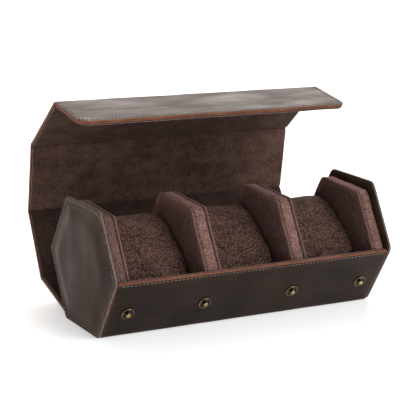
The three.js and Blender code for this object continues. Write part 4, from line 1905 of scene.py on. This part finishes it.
@dataclass
class PressStud:
    """A stud on the front panel: a brass rim, a blacked dish and a ball-topped neck.

    Args:
        number: which stud, from the left.
        line: the strip's course.
    """

    number: int
    line: FoldLine
    seat: float = 0.62 * MM  # from the fold plane out to the leather that it sits on

    def profile(self, radius: float, top: float) -> list[tuple[float, float]]:
        """The stud's section: under its rim, over it, across the dish and up the neck.

        Args:
            radius: of the rim.
            top: the height of the ball's top from the fold plane.

        Returns:
            Its steps of radius and height, from the axis back to the axis.
        """
        rim = ((0.2, 0.0), (0.0, 0.35), (0.08, 0.75), (0.32, 0.95), (0.58, 0.75), (0.72, 0.35))
        dish = ((1.9, 0.2), (1.1, 0.4))  # radius, and height from the seat
        neck = ((1.0, 1.9), (1.45, 1.6), (1.7, 1.0), (1.55, 0.35), (0.9, 0.0), (0.05, -0.05))
        steps = [(0.3 * MM, self.seat)]
        steps += [(radius - inset * MM, self.seat + height * MM) for inset, height in rim]
        steps += [(reach * MM, self.seat + height * MM) for reach, height in dish]
        steps += [(reach * MM, top - fall * MM) for reach, fall in neck]
        return smoothed(steps)

    def finish_of(self, middle: Vector, radius: float, top: float) -> int:
        """The material number of a face: 0 for the neck, 1 for the dish and 2 for the rim."""
        reach = math.hypot(middle.x, middle.y)
        dish_edge, rim_edge = radius - 0.5 * MM, radius - 1.0 * MM
        dish_floor, neck_foot = self.seat + 0.1 * MM, top - 1.75 * MM
        if reach < dish_edge and dish_floor < middle.z < neck_foot:
            return 1
        return 2 if reach > rim_edge else 0

    def build(self) -> None:
        """Builds, dresses and attaches the stud."""
        node = f"snap_stud_{self.number}"
        low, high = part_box(node)
        radius = (high.x - low.x) / 2
        points = vertices_of(node)
        middle = points.mean(0)
        angle = self.line.angles[0]
        out = np.array((math.sin(angle), -math.cos(angle)))
        top = float(((points[:, 1:] - self.line.points[1]) @ out).max())
        spot = middle[1:] - out * ((middle[1:] - self.line.points[1]) @ out)
        stud = turned(f"stud_{self.number}", self.profile(radius, top))
        kinds = [self.finish_of(face.center, radius, top) for face in stud.data.polygons]
        turn = Matrix(
            (
                (1, 0, 0, middle[0]),
                (0, out[1], out[0], spot[0]),
                (0, -out[0], out[1], spot[1]),
                (0, 0, 0, 1),
            )
        )
        stud.data.transform(turn)
        stud.data.polygons.foreach_set("material_index", kinds)
        paint(record_rest(stud), Finish.BRASS, Finish.BLACKED, Finish.AGED)
        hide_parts(node, f"stud_post_{self.number}")
        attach(stud, "trough")
        LOG.info("stud %d", self.number)


@dataclass
class RingSocket:
    """A socket in the flap's lining: a brass ring round a blacked bore.

    Args:
        number: which socket, from the left.
        wrap: the strip that it sits in.
    """

    number: int
    wrap: Wrap
    under: float = 0.75 * MM  # its underside, inside the fold plane
    floor: float = 1.1 * MM  # the bottom of its bore, inside the fold plane

    def profile(self, radius: float, face: float) -> list[tuple[float, float]]:
        """The socket's section: under it, round its ring and down its bore.

        Args:
            radius: of the ring.
            face: the lining's face, inside the fold plane.

        Returns:
            Its steps of radius and height, from the axis back to the axis.
        """
        return smoothed(
            [
                (0.05 * MM, self.under),
                (radius - 0.4 * MM, self.under),
                (radius, self.floor),
                (radius, face - 0.35 * MM),
                (radius - 0.35 * MM, face - 0.02 * MM),
                (radius - 1.4 * MM, face + 0.03 * MM),
                (2.7 * MM, face - 0.05 * MM),
                (2.2 * MM, face - 0.35 * MM),
                (2.1 * MM, self.floor + 0.1 * MM),
                (1.9 * MM, self.floor),
                (0.05 * MM, self.floor),
            ]
        )

    def finish_of(self, middle: Vector) -> int:
        """The material number of a face: 1 in the bore, and 0 elsewhere."""
        bore_edge, lowest = 2.3 * MM, self.floor - 0.1 * MM
        return int(math.hypot(middle.x, middle.y) < bore_edge and middle.z > lowest)

    def build(self) -> None:
        """Builds, dresses and attaches the socket."""
        x, along = self.wrap.sockets_at()[self.number - 1]
        profile = self.profile(self.wrap.socket_radius(), self.wrap.lining.inner)
        ring = turned(f"socket_{self.number}", profile)
        kinds = [self.finish_of(face.center) for face in ring.data.polygons]
        points = points_of(ring)
        placed = self.wrap.line.at(x + points[:, 0], along + points[:, 1], points[:, 2])
        move_points(ring, placed)
        ring.data.polygons.foreach_set("material_index", kinds)
        paint(record_rest(ring), Finish.BRASS, Finish.BLACKED)
        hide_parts(f"snap_socket_{self.number}")
        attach(ring, "lid_flap")
        LOG.info("socket %d", self.number)


# ---- Studio --------------------------------------------------------------------------------


@dataclass(frozen=True)
class SoftSun:
    """A very large, far studio light.

    Args:
        name: the light's name.
        source: which way it lies from the roll.
        strength: in watts per square metre.
        spread: how wide it looks from the roll, in degrees.
        colour: of its light.
    """

    name: str
    source: Axes
    strength: float
    spread: float
    colour: Colour = (1, 1, 1)

    def hang(self) -> None:
        """Adds the light, turned to shine from its side."""
        data = bpy.data.lights.new(self.name, "SUN")
        data.energy, data.angle = self.strength, math.radians(self.spread)
        data.color = self.colour
        lamp = bpy.data.objects.new(self.name, data)
        lamp.rotation_euler = Vector(self.source).to_track_quat("Z", "Y").to_euler()
        bpy.context.scene.collection.objects.link(lamp)


@dataclass(frozen=True)
class Studio:
    """The camera, the floor and the lights."""

    eye: Axes = (-0.5135, -0.8571, 0.3088)
    yaw: float = 30.25  # to the right, in degrees
    pitch: float = 13.21  # down, in degrees
    roll: float = 1.67  # in degrees
    lens: float = 124.24  # in millimetres, as the next is
    sensor: float = 36.0
    floor_size: float = 8.0
    floor_drop: float = 0.05 * MM  # under the roll
    ambient: float = 0.44  # how strong the light from all round is
    suns: tuple[SoftSun, ...] = (
        SoftSun("key", (0.42, -0.66, 0.62), 1.9, 42),
        SoftSun("back", (0.35, 0.72, 0.6), 2.6, 50, (1.0, 0.88, 0.82)),
    )

    def build(self) -> None:
        """Sets up the whole studio."""
        self.camera()
        self.floor()
        self.lights()

    def camera(self) -> None:
        """Places the camera by its yaw to the right, its pitch down and its roll."""
        yaw, pitch, roll = (math.radians(v) for v in (self.yaw, self.pitch, self.roll))
        ahead = Vector(
            (math.sin(yaw) * math.cos(pitch), math.cos(yaw) * math.cos(pitch), -math.sin(pitch))
        )
        right = Vector((math.cos(yaw), -math.sin(yaw), 0))
        up = right.cross(ahead)
        side = right * math.cos(roll) + up * math.sin(roll)
        top = up * math.cos(roll) - right * math.sin(roll)
        data = bpy.data.cameras.new("camera")
        data.lens, data.sensor_width = self.lens, self.sensor
        data.clip_start, data.clip_end = 0.05, 50
        camera = bpy.data.objects.new("camera", data)
        turn = Matrix((side, top, -ahead)).transposed().to_4x4()
        camera.matrix_world = Matrix.Translation(self.eye) @ turn
        bpy.context.scene.collection.objects.link(camera)
        bpy.context.scene.camera = camera

    def floor(self) -> None:
        """Lays the pale floor just under the roll."""
        half = self.floor_size / 2
        corners = [(-half, -half, 0), (half, -half, 0), (half, half, 0), (-half, half, 0)]
        mesh = bpy.data.meshes.new("floor")
        mesh.from_pydata(corners, [], [(0, 1, 2, 3)])
        floor = bpy.data.objects.new("floor", mesh)
        floor.location.z = -self.floor_drop
        bpy.context.scene.collection.objects.link(floor)
        paint(floor, Finish.FLOOR)

    def lights(self) -> None:
        """Lights the roll from all round, and more strongly from the front and the back."""
        world = bpy.data.worlds.new("studio")
        world.use_nodes = True
        sky = world.node_tree.nodes["Background"]
        sky.inputs["Color"].default_value = (1.0, 1.0, 1.0, 1.0)
        sky.inputs["Strength"].default_value = self.ambient
        bpy.context.scene.world = world
        bpy.context.scene.view_settings.view_transform = "Standard"
        for sun in self.suns:
            sun.hang()


# ---- The whole roll ------------------------------------------------------------------------


def end_pads() -> list[HexPad]:
    """The two end pads, whose faces towards the middle are piped."""
    made = []
    for side in Side:
        low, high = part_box(f"end_pad_cover_{side.value}")
        cap_low, cap_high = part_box(f"cap_leather_{side.value}")
        left = side is Side.LEFT
        span = (cap_high.x + CAP_GAP, high.x) if left else (low.x, cap_low.x - CAP_GAP)
        piped = (span[1],) if left else (span[0],)
        nodes = tuple(n + side.value for n in ("end_pad_cover_", "end_pad_core_", "cap_board_"))
        seed = 40 + side.sign * 3
        band_darkened = 0.4 if left else 0.0
        made.append(HexPad(f"end_pad_{side.value}", nodes, seed, piped, span, band_darkened))
    return made


def dividers() -> list[HexPad]:
    """The dividers, piped along both faces."""
    made = []
    for number in (1, 2):
        low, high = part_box(f"divider_cover_{number}")
        nodes = (f"divider_cover_{number}", f"divider_core_{number}")
        span = (low.x, high.x)
        made.append(HexPad(f"divider_{number}", nodes, 20 + 7 * number, span, span))
    return made


def corners(box: tuple[Vector, Vector]) -> list[list[float]]:
    """A box's two corners as plain lists."""
    return [list(map(float, corner)) for corner in box]


def main() -> None:
    """Builds the studio and every part of the roll, in order."""
    logging.basicConfig(level=logging.INFO, format="%(name)s: %(message)s")
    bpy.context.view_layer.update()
    Studio().build()
    wrap = Wrap()
    wrap.build()
    for side in Side:
        EndCap(side).build()
    for pad in [*end_pads(), *dividers()]:
        pad.build()
    for number in (1, 2, 3):
        Pillow(number).build()
    for number in (1, 2, 3, 4):
        PressStud(number, wrap.line).build()
        RingSocket(number, wrap).build()


if __name__ == "__main__":
    main()
